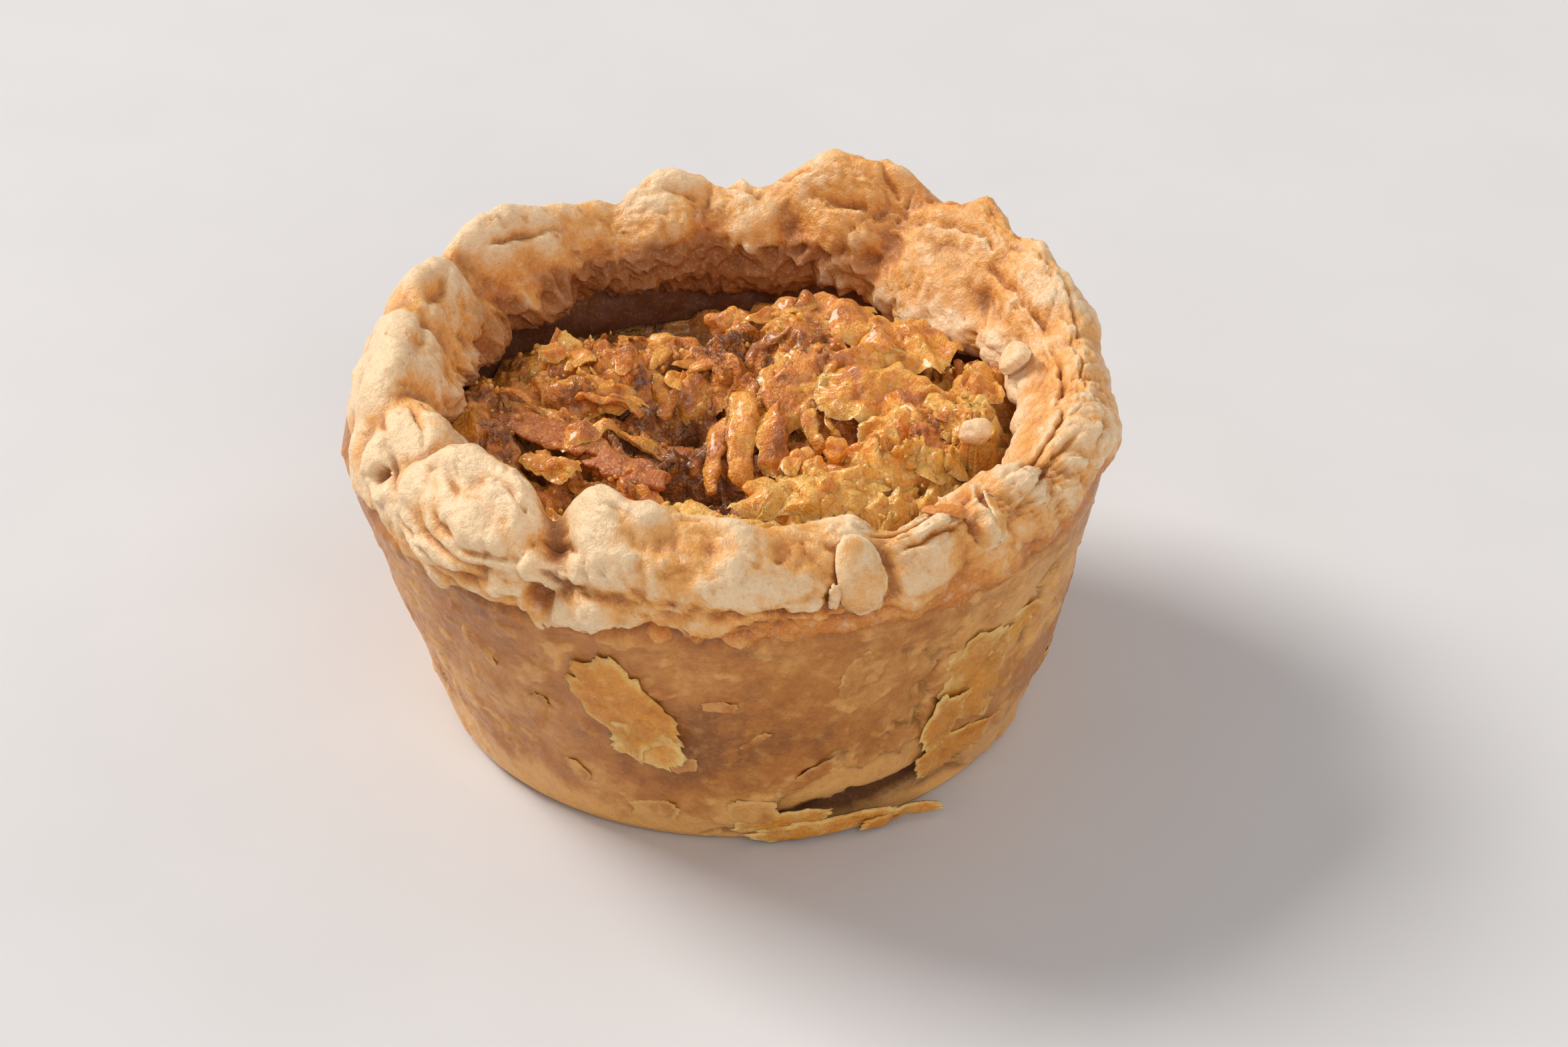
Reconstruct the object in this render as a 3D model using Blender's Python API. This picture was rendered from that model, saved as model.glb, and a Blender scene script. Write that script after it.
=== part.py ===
"""A butter tart: a deep pastry cup with a hand-crimped rim and a sunken, craggy filling of toasted shreds.

Two solids rest on one flat base: the pastry shell, and the filling that stands in it. Sizes are in
millimetres and the scene is in metres. The origin is the middle of the flat base, +Z is up, and -Y is
the side with the tall crimped knob and the loose flake below it.
"""

import math
from dataclasses import dataclass
from itertools import combinations

import bmesh
import bpy
import numpy as np

MM = 0.001

# The cup, as the ring tin shaped it
BASE_R = 31.0  # flat base
MOUTH_R = 40.0  # outside of the wall where the tin ends
MOUTH_Z = 30.5  # height at which the tin ends and the crimped rim begins
WALL = 6.0  # thickness of the pastry wall
FLOOR = 5.0  # thickness of the pastry under the filling
NECK_Z = 33.0  # the wall's own top, buried in the rim
BASE_EDGE_R = 0.8  # rounding between base and wall
LEAN = (-0.025, 0.025)  # sideways drift of the cup for each mm of height
GAP = 0.35  # clearance between the cup's floor and the filling
SIDE_GAP = 0.45  # and between its wall and the filling

# Mesh fineness
AROUND = 116  # steps round the rim
WALL_AROUND = 58  # steps round the wall
WALL_RINGS = 6
INSIDE_RINGS = 4
SECTION = 18  # steps along the rim's section
FILLING_AROUND = 62
FILLING_RINGS = 20

SEAM_MERGE = 0.01

# How the dough's surface wanders
LUMP_SIZE = 7.5
LUMP_RISE = 0.9
KNUCKLE_SIZE = 3.8
KNUCKLE_RISE = 0.6
SKIN_SIZE = 9.0
SKIN_RISE = 0.45
SKIN_FROM_Z = 3.0

PASTRY_COLOUR = (0.62, 0.37, 0.16, 1.0)
FILLING_COLOUR = (0.50, 0.20, 0.05, 1.0)


@dataclass(frozen=True)
class Lobe:
    """One crimped lobe of the rim: its angle and four (radius, height) points of its section."""

    angle: float
    outer: tuple
    crest: tuple
    brow: tuple
    inner: tuple


@dataclass(frozen=True)
class Crease:
    """The valley between two lobes. It leans round by `slant` degrees from the outside to the inside."""

    angle: float
    depth: float
    slant: float = 0.0


@dataclass(frozen=True)
class Swelling:
    """A rounded swelling of dough on the outside, centred at an angle and a height."""

    angle: float
    height: float
    half_width: float
    half_height: float
    rise: float
    lean: float = 0.0


@dataclass(frozen=True)
class Flake:
    """A loose scale of pastry on the wall, turned by `turn` degrees from level, standing out by `stand`."""

    angle: float
    height: float
    half_long: float
    half_wide: float
    turn: float
    stand: float


@dataclass(frozen=True)
class Mound:
    """A rise in the filling, or a hollow where `rise` is below 0, with an oval foot."""

    x: float
    y: float
    half_long: float
    half_wide: float
    rise: float
    turn: float = 0.0


LOBES = (
    Lobe(4, (40.6, 34.0), (37.2, 37.8), (33.0, 36.2), (27.5, 30.5)),
    Lobe(22, (40.8, 35.0), (38.0, 39.9), (33.0, 37.5), (27.0, 30.5)),
    Lobe(42, (41.2, 36.0), (38.0, 41.8), (33.5, 38.5), (27.5, 30.5)),
    Lobe(69, (40.2, 36.5), (36.8, 43.2), (33.0, 39.6), (28.5, 31.0)),
    Lobe(88, (40.0, 34.6), (36.6, 38.8), (32.5, 36.8), (29.5, 31.5)),
    Lobe(101, (40.0, 34.3), (36.3, 40.4), (32.0, 37.3), (29.0, 31.5)),
    Lobe(116, (39.2, 33.6), (35.8, 37.6), (31.5, 36.2), (28.8, 31.0)),
    Lobe(134, (39.4, 34.3), (36.3, 40.5), (32.0, 37.3), (28.5, 30.5)),
    Lobe(156, (39.2, 34.3), (35.4, 40.7), (31.0, 38.3), (28.0, 31.0)),
    Lobe(180, (38.3, 35.0), (34.6, 41.0), (30.5, 39.0), (27.5, 31.5)),
    Lobe(203, (40.2, 34.0), (35.5, 38.8), (31.0, 38.0), (28.0, 32.0)),
    Lobe(228, (40.0, 35.5), (35.8, 41.4), (31.8, 40.5), (28.6, 33.5)),
    Lobe(248.5, (40.2, 37.0), (36.0, 43.8), (32.5, 42.0), (29.5, 34.5)),
    Lobe(268, (41.0, 36.5), (36.5, 41.2), (32.5, 39.5), (29.0, 32.5)),
    Lobe(286, (41.0, 36.0), (36.6, 40.2), (32.5, 38.5), (28.5, 32.0)),
    Lobe(303, (40.4, 34.5), (37.8, 38.4), (33.5, 36.0), (28.0, 31.5)),
    Lobe(322, (40.8, 35.5), (37.8, 39.4), (33.0, 37.0), (27.5, 31.0)),
    Lobe(341, (41.0, 35.5), (37.6, 38.6), (33.0, 36.5), (27.5, 31.5)),
)
HEM = (38.9, 29.2)  # where each section tucks into the wall outside
FOOT = (33.6, 27.6)  # and inside
CORE = (35.2, 33.6)  # the middle that creases pull the section towards

CREASES = (
    Crease(13, 0.20, 8),
    Crease(32, 0.16, -8),
    Crease(55, 0.26, 10),
    Crease(80, 0.24, -8),
    Crease(94, 0.20, 7),
    Crease(114, 0.30, 10),
    Crease(145, 0.34, -8),
    Crease(168, 0.18, 6),
    Crease(192, 0.28, -9),
    Crease(214, 0.34, 10),
    Crease(241.5, 0.52, -6),
    Crease(256, 0.22, 8),
    Crease(277, 0.14, -8),
    Crease(297, 0.20, 10),
    Crease(312.5, 0.36, -11),
    Crease(331, 0.24, 8),
    Crease(353, 0.26, -8),
)
CREASE_WIDTH = 2.3
CREASE_POWER = 1.4  # 1 is a sharp V, 2 a round dip
CREASE_FROM, CREASE_TO = 0.04, 0.88  # stretch of the section, outside to inside, that creases reach
CREASE_FADE = 1.6
RIM_MIDDLE_R = 36.0
SWELL_FROM_R, SWELL_FULL_R = 36.5, 39.5  # swellings are on the outside of the rim alone
SWELL_FROM_Z, SWELL_FULL_Z = 29.5, 31.5
SWELL_ROUNDNESS = 0.6  # below 1 the swellings are fuller than a cap

SWELLINGS = (
    Swelling(207, 35.0, 3.2, 2.6, 1.0),
    Swelling(229, 37.8, 6.5, 4.0, 1.1, -8),
    Swelling(225, 33.2, 5.5, 1.3, 0.8, 12),
    Swelling(234, 31.6, 4.0, 1.2, 0.7, 15),
    Swelling(249, 39.5, 3.4, 5.2, 1.3),
    Swelling(244.5, 36.0, 2.6, 2.4, 1.6),
    Swelling(254, 32.4, 5.2, 1.8, 1.6, 10),
    Swelling(264, 33.6, 5.0, 1.5, 0.9, -6),
    Swelling(270, 38.0, 10.0, 2.8, 0.9, -4),
    Swelling(290, 36.4, 2.3, 4.6, 1.2, 6),
    Swelling(302, 35.5, 5.0, 2.2, 0.7, 12),
    Swelling(324, 35.0, 6.0, 3.2, 0.8, -10),
    Swelling(340, 37.0, 4.0, 2.6, 0.7),
    Swelling(60, 36.0, 6.0, 3.0, 0.7),
    Swelling(100, 36.0, 5.0, 3.0, 0.7),
    Swelling(132, 36.5, 7.0, 3.2, 0.7),
)
WALL_SWELLINGS = (
    Swelling(335, 11.0, 17.0, 11.0, 1.0),
    Swelling(285, 5.5, 14.0, 6.0, 0.6),
)

FLAKES = (
    Flake(256.5, 21.8, 6.6, 2.9, -52, 1.5),
    Flake(309, 19.0, 7.0, 3.4, 68, 0.9),
    Flake(300, 12.5, 4.5, 2.0, 20, 0.7),
    Flake(291, 2.3, 12.5, 1.7, 2, 1.8),
    Flake(302, 2.1, 6.0, 1.4, 3, 3.2),
    Flake(250, 15.0, 3.0, 1.6, 15, 0.6),
    Flake(100, 17.0, 5.0, 3.0, 35, 0.9),
    Flake(150, 12.0, 4.0, 2.4, -30, 0.8),
)
FLAKE_ROOT = 1.2  # depth of a flake's root in the wall
FLAKE_POINTS = 14
FLAKE_RAGGEDNESS = 0.16

FILLING_LEVEL = 25.0
FILLING_REACH = 29.0  # radius past which the filling's top lies under the rim
FILLING_FREE_R = 26.5  # radius inside which nothing holds it down
FILLING_TUCK_Z = 24.0  # the filling's height where it meets the wall
FILLING_TUCK_RISE = 2.2  # the most that it rises above that under the rim
MOUNDS = (
    Mound(10, 13, 13, 10, 8.0, -20),
    Mound(21, -3, 9, 7, 5.5, 25),
    Mound(12, -11, 13, 6, 5.0, 12),
    Mound(-6, -20, 15, 7, 5.5, -8),
    Mound(-18, 3, 9, 4, 2.6, -25),
    Mound(-11, -6, 7, 4, 2.0, -25),
    Mound(-17, 14, 9, 7, 4.0, 30),
    Mound(-6, 15, 9, 6, 3.6, 0),
    Mound(-26, 4, 7, 10, 3.0, 0),
    Mound(-2, -6, 9, 6, -4.5, -15),
    Mound(-5, 6, 6, 5, -3.0, 10),
    Mound(-4, 25, 17, 5, -4.0, 0),
    Mound(24, 11, 5, 5, -1.5, 0),
)
RIDGE_SIZE = 6.0
RIDGE_RISE = 1.2
CRAG_SIZE = 3.4
CRAG_RISE = 1.5

SHREDS = 36
SHRED_LENGTH = (7.0, 15.0)
SHRED_HALF_WIDTH = (0.7, 1.2)
SHRED_FLATNESS = 1.25
SHRED_PITCH = 0.4
SHRED_BEND = 0.8
SHRED_SIDES = 5
SHRED_RINGS = 4
SHRED_SPREAD_R = 21.0
SEED = 11


def clear_scene():
    """Removes every object, so that only the tart is left."""
    for old in list(bpy.data.objects):
        bpy.data.objects.remove(old)


def lattice_gradient(ix, iy, iz, seed):
    """One repeatable unit-range gradient for each lattice point, from an integer hash."""
    parts = []
    for turn in range(3):
        h = ix * 374761393 + iy * 668265263 + iz * 1440662683 + (seed * 3 + turn) * 1274126177
        h &= 0xFFFFFFFF
        h = ((h ^ (h >> 13)) * 1103515245) & 0xFFFFFFFF
        h = ((h ^ (h >> 15)) * 668265263) & 0xFFFFFFFF
        parts.append(((h ^ (h >> 16)) & 0xFFFF) / 32767.5 - 1.0)
    return np.stack(parts, -1)


def dough_noise(points, size, seed=0):
    """Smooth gradient noise of about -1 to 1 at `points`, whose bumps are `size` mm across."""
    p = points / size
    cell = np.floor(p).astype(np.int64)
    f = p - cell
    fade = f * f * f * (f * (f * 6 - 15) + 10)
    total = np.zeros(len(p))
    for corner in range(8):
        step = np.array([corner & 1, corner >> 1 & 1, corner >> 2 & 1])
        gradient = lattice_gradient(*(cell + step).T, seed)
        weight = np.prod(np.where(step == 1, fade, 1 - fade), axis=1)
        total += weight * ((f - step) * gradient).sum(1)
    return total * 1.6


def leaning(points):
    """The points moved sideways by the cup's lean, which is none at the mouth in Y and at the base in X."""
    moved = points.copy()
    moved[:, 0] += LEAN[0] * points[:, 2]
    moved[:, 1] += LEAN[1] * (points[:, 2] - MOUTH_Z)
    return moved


def ramp(value, start, end):
    """0 before the start, 1 past the end, and straight between them."""
    return np.clip((value - start) / (end - start), 0, 1)


def turned(angle_deg, other_deg):
    """The signed difference of two angles, from -180 to 180 degrees."""
    return (angle_deg - other_deg + 180) % 360 - 180


def lobe_points(angle_deg):
    """The rim's section points at each angle, eased from lobe to lobe: angle by point by (r, z)."""
    stations = np.array([lobe.angle for lobe in LOBES], float)
    table = np.array([[lobe.outer, lobe.crest, lobe.brow, lobe.inner] for lobe in LOBES], float)
    stations = np.concatenate([stations, stations[:1] + 360])
    table = np.concatenate([table, table[:1]])
    a = (angle_deg - stations[0]) % 360 + stations[0]
    i = np.clip(np.searchsorted(stations, a, side="right") - 1, 0, len(LOBES) - 1)
    t = (a - stations[i]) / (stations[i + 1] - stations[i])
    ease = (t * t * (3 - 2 * t))[:, None, None]
    middle = table[i] * (1 - ease) + table[i + 1] * ease
    hem = np.broadcast_to(HEM, (len(a), 1, 2))
    foot = np.broadcast_to(FOOT, (len(a), 1, 2))
    return np.concatenate([hem, middle, foot], axis=1)


def closed_curve(control, t):
    """A closed Catmull-Rom curve through each row's control points, read at t from 0 to 1."""
    count = control.shape[1]
    at = (t % 1.0) * count
    i = np.floor(at).astype(int) % count
    u = (at - np.floor(at))[:, None]
    rows = np.arange(len(t))
    p0, p1, p2, p3 = (control[rows, (i + k) % count] for k in (-1, 0, 1, 2))
    return 0.5 * (
        2 * p1
        + (p2 - p0) * u
        + (2 * p0 - 5 * p1 + 4 * p2 - p3) * u**2
        + (3 * p1 - p0 - 3 * p2 + p3) * u**3
    )


def crease_pull(angle_deg, t):
    """The share by which the valleys between lobes pull the section in, at each angle and place t on it."""
    reach = np.clip((t - CREASE_FROM) / (CREASE_TO - CREASE_FROM), 0, 1)
    in_the_open = np.clip(np.sin(np.pi * reach) * CREASE_FADE, 0, 1)
    pull = np.zeros(len(angle_deg))
    for crease in CREASES:
        middle = crease.angle + crease.slant * (2 * reach - 1)
        away = np.radians(np.abs(turned(angle_deg, middle))) * RIM_MIDDLE_R
        pull = np.maximum(pull, crease.depth * np.exp(-((away / CREASE_WIDTH) ** CREASE_POWER)))
    return pull * in_the_open


def swelling_rise(swellings, angle_deg, height):
    """How far the swellings push the outside out at each angle and height."""
    rise = np.zeros(len(angle_deg))
    for s in swellings:
        along = np.radians(turned(angle_deg, s.angle)) * MOUTH_R
        up = height - s.height
        lean = math.radians(s.lean)
        across = (along * math.cos(lean) + up * math.sin(lean)) / s.half_width
        over = (up * math.cos(lean) - along * math.sin(lean)) / s.half_height
        rise = np.maximum(rise, s.rise * np.clip(1 - across**2 - over**2, 0, 1) ** SWELL_ROUNDNESS)
    return rise


def rim_surface(angle_deg, t):
    """Points of the rim at each angle and place t on its section: section, creases, swellings and lumps."""
    section = closed_curve(lobe_points(angle_deg), t)
    section = section + (np.array(CORE) - section) * crease_pull(angle_deg, t)[:, None]
    outward = section - CORE
    outward /= np.linalg.norm(outward, axis=1, keepdims=True)
    side = ramp(section[:, 0], SWELL_FROM_R, SWELL_FULL_R) * ramp(section[:, 1], SWELL_FROM_Z, SWELL_FULL_Z)
    turn = np.radians(angle_deg)
    place = np.stack([section[:, 0] * np.cos(turn), section[:, 0] * np.sin(turn), section[:, 1]], -1)
    push = side * swelling_rise(SWELLINGS, angle_deg, section[:, 1])
    push += LUMP_RISE * dough_noise(place, LUMP_SIZE, 1)
    push += KNUCKLE_RISE * dough_noise(place, KNUCKLE_SIZE, 2)
    section = section + outward * push[:, None]
    around = np.stack([section[:, 0] * np.cos(turn), section[:, 0] * np.sin(turn), section[:, 1]], -1)
    return leaning(around)


def spin_profile(profile, steps, closed_loop):
    """A bmesh made by spinning a profile of (radius, height) points round Z."""
    bm = bmesh.new()
    verts = [bm.verts.new((r, 0.0, z)) for r, z in profile]
    pairs = list(zip(verts, verts[1:] + verts[:1] if closed_loop else verts[1:]))
    edges = [bm.edges.new(pair) for pair in pairs]
    bmesh.ops.spin(
        bm,
        geom=verts + edges,
        cent=(0, 0, 0),
        axis=(0, 0, 1),
        angle=math.tau,
        steps=steps,
        use_duplicate=False,
    )
    bmesh.ops.remove_doubles(bm, verts=bm.verts, dist=SEAM_MERGE)
    bmesh.ops.recalc_face_normals(bm, faces=bm.faces)
    return bm


def read_points(bm):
    """The bmesh's vertices as an array."""
    return np.array([v.co for v in bm.verts], float)


def write_points(bm, points):
    """Puts an array of places back on the bmesh's vertices."""
    for vert, place in zip(bm.verts, points):
        vert.co = place


def material(name, colour, roughness):
    """A plain Principled finish."""
    made = bpy.data.materials.new(name)
    made.use_nodes = True
    shader = made.node_tree.nodes["Principled BSDF"]
    shader.inputs["Base Color"].default_value = colour
    shader.inputs["Roughness"].default_value = roughness
    shader.inputs["Metallic"].default_value = 0.0
    return made


def object_from(bm, name):
    """Turns a bmesh in millimetres into a scene object in metres."""
    bmesh.ops.recalc_face_normals(bm, faces=bm.faces)
    bmesh.ops.scale(bm, vec=(MM, MM, MM), verts=bm.verts)
    mesh = bpy.data.meshes.new(name)
    bm.to_mesh(mesh)
    bm.free()
    made = bpy.data.objects.new(name, mesh)
    bpy.context.scene.collection.objects.link(made)
    return made


def wall_radius(z):
    """The cup's outside radius at a height, a straight taper."""
    return BASE_R + (MOUTH_R - BASE_R) * z / MOUTH_Z


def cup_inside(z):
    """The inside radius of the shell at a height."""
    return wall_radius(z) - WALL


def rounded_base(steps=3):
    """The small arc from the flat base up to the wall."""
    turns = np.radians(np.linspace(-90, -15, steps + 1))
    return [(BASE_R + BASE_EDGE_R * (math.cos(a) - 1), BASE_EDGE_R * (math.sin(a) + 1)) for a in turns]


def build_wall():
    """The cup itself: flat base, tapered wall buried in the rim at its top, and inside."""
    outside = [(wall_radius(z), z) for z in np.linspace(5.0, HEM[1], WALL_RINGS)]
    top = [(HEM[0] - 1.0, NECK_Z), (cup_inside(NECK_Z), NECK_Z)]
    inside = [(cup_inside(z), z) for z in np.linspace(28.0, FLOOR, INSIDE_RINGS)]
    profile = [(0.0, 0.0), *rounded_base(), *outside, *top, *inside, (0.0, FLOOR)]
    bm = spin_profile(profile, WALL_AROUND, closed_loop=False)
    p = read_points(bm)
    r = np.hypot(p[:, 0], p[:, 1])
    angle = np.degrees(np.arctan2(p[:, 1], p[:, 0])) % 360
    skin = (p[:, 2] < NECK_Z) & (r > wall_radius(p[:, 2]) - WALL / 2)
    push = SKIN_RISE * dough_noise(p, SKIN_SIZE, 5) * ramp(p[:, 2], 0.0, SKIN_FROM_Z)
    push += swelling_rise(WALL_SWELLINGS, angle, p[:, 2])
    p[:, :2] *= 1 + np.where(skin, push / np.maximum(r, 1.0), 0.0)[:, None]
    write_points(bm, leaning(p))
    return object_from(bm, "wall")


def build_rim():
    """The crimped rim: a spun ring whose vertices are moved to the lobed, creased surface."""
    turns = np.linspace(0, math.tau, SECTION, endpoint=False)
    bm = spin_profile([(RIM_MIDDLE_R + math.cos(a), math.sin(a)) for a in turns], AROUND, closed_loop=True)
    p = read_points(bm)
    angle = np.degrees(np.arctan2(p[:, 1], p[:, 0])) % 360
    t = np.arctan2(p[:, 2], np.hypot(p[:, 0], p[:, 1]) - RIM_MIDDLE_R) / math.tau % 1.0
    write_points(bm, rim_surface(angle, t))
    return object_from(bm, "rim")


def plate(name, outline, place):
    """A closed solid of an outline in (u, v), its root face at w = 0 and its outer face at w = 1."""
    bm = bmesh.new()
    faces = []
    for w in (0.0, 1.0):
        ring = [bm.verts.new(place(u, v, w)) for u, v in outline]
        middle = bm.verts.new(place(*outline.mean(axis=0), w))
        faces.append((ring, middle))
    (low, low_mid), (high, high_mid) = faces
    for k in range(len(outline)):
        n = (k + 1) % len(outline)
        bm.faces.new((low[n], low[k], low_mid))
        bm.faces.new((high[k], high[n], high_mid))
        bm.faces.new((low[k], low[n], high[n], high[k]))
    return object_from(bm, name)


def on_wall(angle, height, lift_low, lift_high):
    """A placing function on the wall: u runs round, v up, and w from root to outer face."""

    def place(u, v, w):
        z = height + v
        lift = lift_low + (lift_high - lift_low) * w
        r = wall_radius(z) + lift
        a = math.radians(angle) + u / MOUTH_R
        return leaning(np.array([[r * math.cos(a), r * math.sin(a), z]]))[0]

    return place


def ragged_oval(half_long, half_wide, turn_deg, seed):
    """A torn, uneven oval outline, turned by an angle."""
    rng = np.random.default_rng(seed)
    turn = math.radians(turn_deg)
    around = np.linspace(0, math.tau, FLAKE_POINTS, endpoint=False)
    reach = 1 + FLAKE_RAGGEDNESS * rng.uniform(-1, 1, FLAKE_POINTS)
    long, wide = half_long * reach * np.cos(around), half_wide * reach * np.sin(around)
    u = long * math.cos(turn) - wide * math.sin(turn)
    v = long * math.sin(turn) + wide * math.cos(turn)
    return np.stack([u, v], -1)


def build_flakes():
    """The loose pastry flakes that stand out of the wall, each sunk a little into it."""
    made = []
    for seed, flake in enumerate(FLAKES):
        outline = ragged_oval(flake.half_long, flake.half_wide, flake.turn, seed)
        placing = on_wall(flake.angle, flake.height, -FLAKE_ROOT, flake.stand)
        made.append(plate(f"flake_{seed}", outline, placing))
    return made


def filling_height(x, y):
    """The filling's top: a level with mounds and hollows, broken into crags."""
    z = np.full(len(x), FILLING_LEVEL)
    for m in MOUNDS:
        turn = math.radians(m.turn)
        along = ((x - m.x) * math.cos(turn) + (y - m.y) * math.sin(turn)) / m.half_long
        across = ((y - m.y) * math.cos(turn) - (x - m.x) * math.sin(turn)) / m.half_wide
        z += m.rise * np.clip(1 - along**2 - across**2, 0, 1) ** 0.8
    place = np.stack([x, y, z], -1)
    ridges = 1 - 2.5 * np.abs(dough_noise(place, RIDGE_SIZE, 7))
    crags = dough_noise(place, CRAG_SIZE, 8)
    return z + RIDGE_RISE * ridges + CRAG_RISE * crags


def build_filling_core():
    """The filling without its shreds: a plug that fits the cup, with a craggy top."""
    low_z = FLOOR + GAP
    sides = [(cup_inside(z) - SIDE_GAP, z) for z in np.linspace(low_z, FILLING_TUCK_Z, INSIDE_RINGS)]
    top = [(r, FILLING_LEVEL) for r in np.linspace(sides[-1][0], 0.0, FILLING_RINGS + 1)[1:]]
    bm = spin_profile([(0.0, low_z), *sides, *top], FILLING_AROUND, closed_loop=False)
    p = read_points(bm)
    free = ramp(np.hypot(p[:, 0], p[:, 1]), FILLING_REACH, FILLING_FREE_R)
    height = filling_height(p[:, 0], p[:, 1])
    tucked = np.minimum(height, FILLING_TUCK_Z + FILLING_TUCK_RISE)
    on_top = p[:, 2] > (FILLING_TUCK_Z + FILLING_LEVEL) / 2
    p[:, 2] = np.where(on_top, tucked * (1 - free) + height * free, p[:, 2])
    write_points(bm, leaning(p))
    return object_from(bm, "filling_core")


def build_shred(name, rng):
    """One toasted shred: a tapering bent rod half sunk in the filling's top."""
    reach = SHRED_SPREAD_R * math.sqrt(rng.uniform(0, 1))
    bearing = rng.uniform(0, math.tau)
    middle = np.array([reach * math.cos(bearing), reach * math.sin(bearing)])
    length = rng.uniform(*SHRED_LENGTH)
    thick = rng.uniform(*SHRED_HALF_WIDTH)
    heading = rng.uniform(0, math.tau)
    pitch = rng.uniform(-SHRED_PITCH, SHRED_PITCH)
    bend = rng.uniform(-SHRED_BEND, SHRED_BEND)
    ground = filling_height(middle[:1], middle[1:])[0]
    along = np.linspace(-0.5, 0.5, SHRED_RINGS)[:, None]
    around = np.linspace(0, math.tau, SHRED_SIDES, endpoint=False)[None, :]
    course = heading + bend * along
    size = thick * (1 - 1.1 * along**2)
    side = SHRED_FLATNESS * size * np.cos(around)
    x = middle[0] + length * along * np.cos(course) - side * np.sin(course)
    y = middle[1] + length * along * np.sin(course) + side * np.cos(course)
    z = ground + 0.35 * thick + length * along * pitch + size * np.sin(around) / SHRED_FLATNESS
    points = leaning(np.stack([x.ravel(), y.ravel(), z.ravel()], -1))
    bm = bmesh.new()
    verts = [bm.verts.new(point) for point in points]
    rings = [verts[k * SHRED_SIDES : (k + 1) * SHRED_SIDES] for k in range(SHRED_RINGS)]
    for low, high in zip(rings, rings[1:]):
        for j in range(SHRED_SIDES):
            n = (j + 1) % SHRED_SIDES
            bm.faces.new((low[j], low[n], high[n], high[j]))
    bm.faces.new(rings[0][::-1])
    bm.faces.new(rings[-1])
    return object_from(bm, name)


def build_shreds():
    """All the shreds, scattered evenly by a seeded draw."""
    rng = np.random.default_rng(SEED)
    return [build_shred(f"shred_{k:02d}", rng) for k in range(SHREDS)]


def fuse(base, others, solver="EXACT"):
    """Joins the others to the base by one Boolean union on a collection, and removes them."""
    holder = bpy.data.collections.new(f"{base.name}_joined")
    bpy.context.scene.collection.children.link(holder)
    for other in others:
        bpy.context.scene.collection.objects.unlink(other)
        holder.objects.link(other)
    union = base.modifiers.new("union", "BOOLEAN")
    union.operation = "UNION"
    union.operand_type = "COLLECTION"
    union.collection = holder
    union.solver = solver
    bpy.context.view_layer.update()
    graph = bpy.context.evaluated_depsgraph_get()
    mesh = bpy.data.meshes.new_from_object(base.evaluated_get(graph))
    base.modifiers.clear()
    base.data = mesh
    for other in others:
        bpy.data.objects.remove(other)
    bpy.data.collections.remove(holder)
    return base


def turn_diagonal(bm, edge, one, two):
    """Swaps the diagonal `edge` that two triangles of one flat face share for the other one."""
    loop = next(corner for corner in one.loops if corner.edge == edge)
    start, end, near = loop.vert, loop.link_loop_next.vert, loop.link_loop_prev.vert
    far = next(vert for vert in two.verts if vert not in edge.verts)
    if bm.edges.get((near, far)):
        return
    bm.faces.remove(one)
    bm.faces.remove(two)
    bm.faces.new((start, far, near))
    bm.faces.new((far, end, near))


def cut_to_triangles(bm):
    """Cuts every face to triangles, and turns each diagonal that falls on an edge of other faces."""
    origin = bm.faces.layers.int.new("origin")
    for index, face in enumerate(bm.faces):
        face[origin] = index
    bmesh.ops.triangulate(bm, faces=bm.faces)
    for edge in [edge for edge in bm.edges if len(edge.link_faces) > 2]:
        for one, two in combinations(edge.link_faces, 2):
            if one[origin] == two[origin]:
                turn_diagonal(bm, edge, one, two)
                break


def keep_main_body(obj):
    """Drops loose scraps and the skins of sealed hollows, so that one closed skin is left."""
    bm = bmesh.new()
    bm.from_mesh(obj.data)
    cut_to_triangles(bm)
    unseen = set(bm.faces)
    skins = []
    while unseen:
        skin = [unseen.pop()]
        for face in skin:
            for edge in face.edges:
                for neighbour in edge.link_faces:
                    if neighbour in unseen:
                        unseen.discard(neighbour)
                        skin.append(neighbour)
        skins.append(skin)
    main = max(skins, key=len)
    scraps = [face for skin in skins if skin is not main for face in skin]
    bmesh.ops.delete(bm, geom=scraps, context="FACES")
    bm.to_mesh(obj.data)
    bm.free()
    return obj


def finish(obj, name, finish_material):
    """Names a solid, gives it its finish and shades it smooth."""
    obj.name = name
    obj.data.name = name
    obj.data.materials.clear()
    obj.data.materials.append(finish_material)
    obj.data.shade_smooth()


def main():
    """Builds the pastry shell and the filling."""
    clear_scene()
    shell = keep_main_body(fuse(build_wall(), [build_rim(), *build_flakes()]))
    finish(shell, "pastry_shell", material("baked_pastry", PASTRY_COLOUR, 0.6))
    filling = keep_main_body(fuse(build_filling_core(), build_shreds()))
    finish(filling, "filling", material("toasted_filling", FILLING_COLOUR, 0.4))


main()
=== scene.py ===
"""Looks of a butter tart: a hand-crimped pastry cup with a sunken filling of toasted, caramelised shreds.

The shapes are surfaces worked out with numpy, in millimetres, round the middle of the flat base, with +Z
up and -Y towards the camera. Each sub-assembly is a class that holds its sizes, and each finish is a small
class that builds one procedural material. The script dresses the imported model, which it loads as a frame.
"""

import logging
import math
from collections.abc import Callable
from dataclasses import dataclass
from enum import Enum

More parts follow.
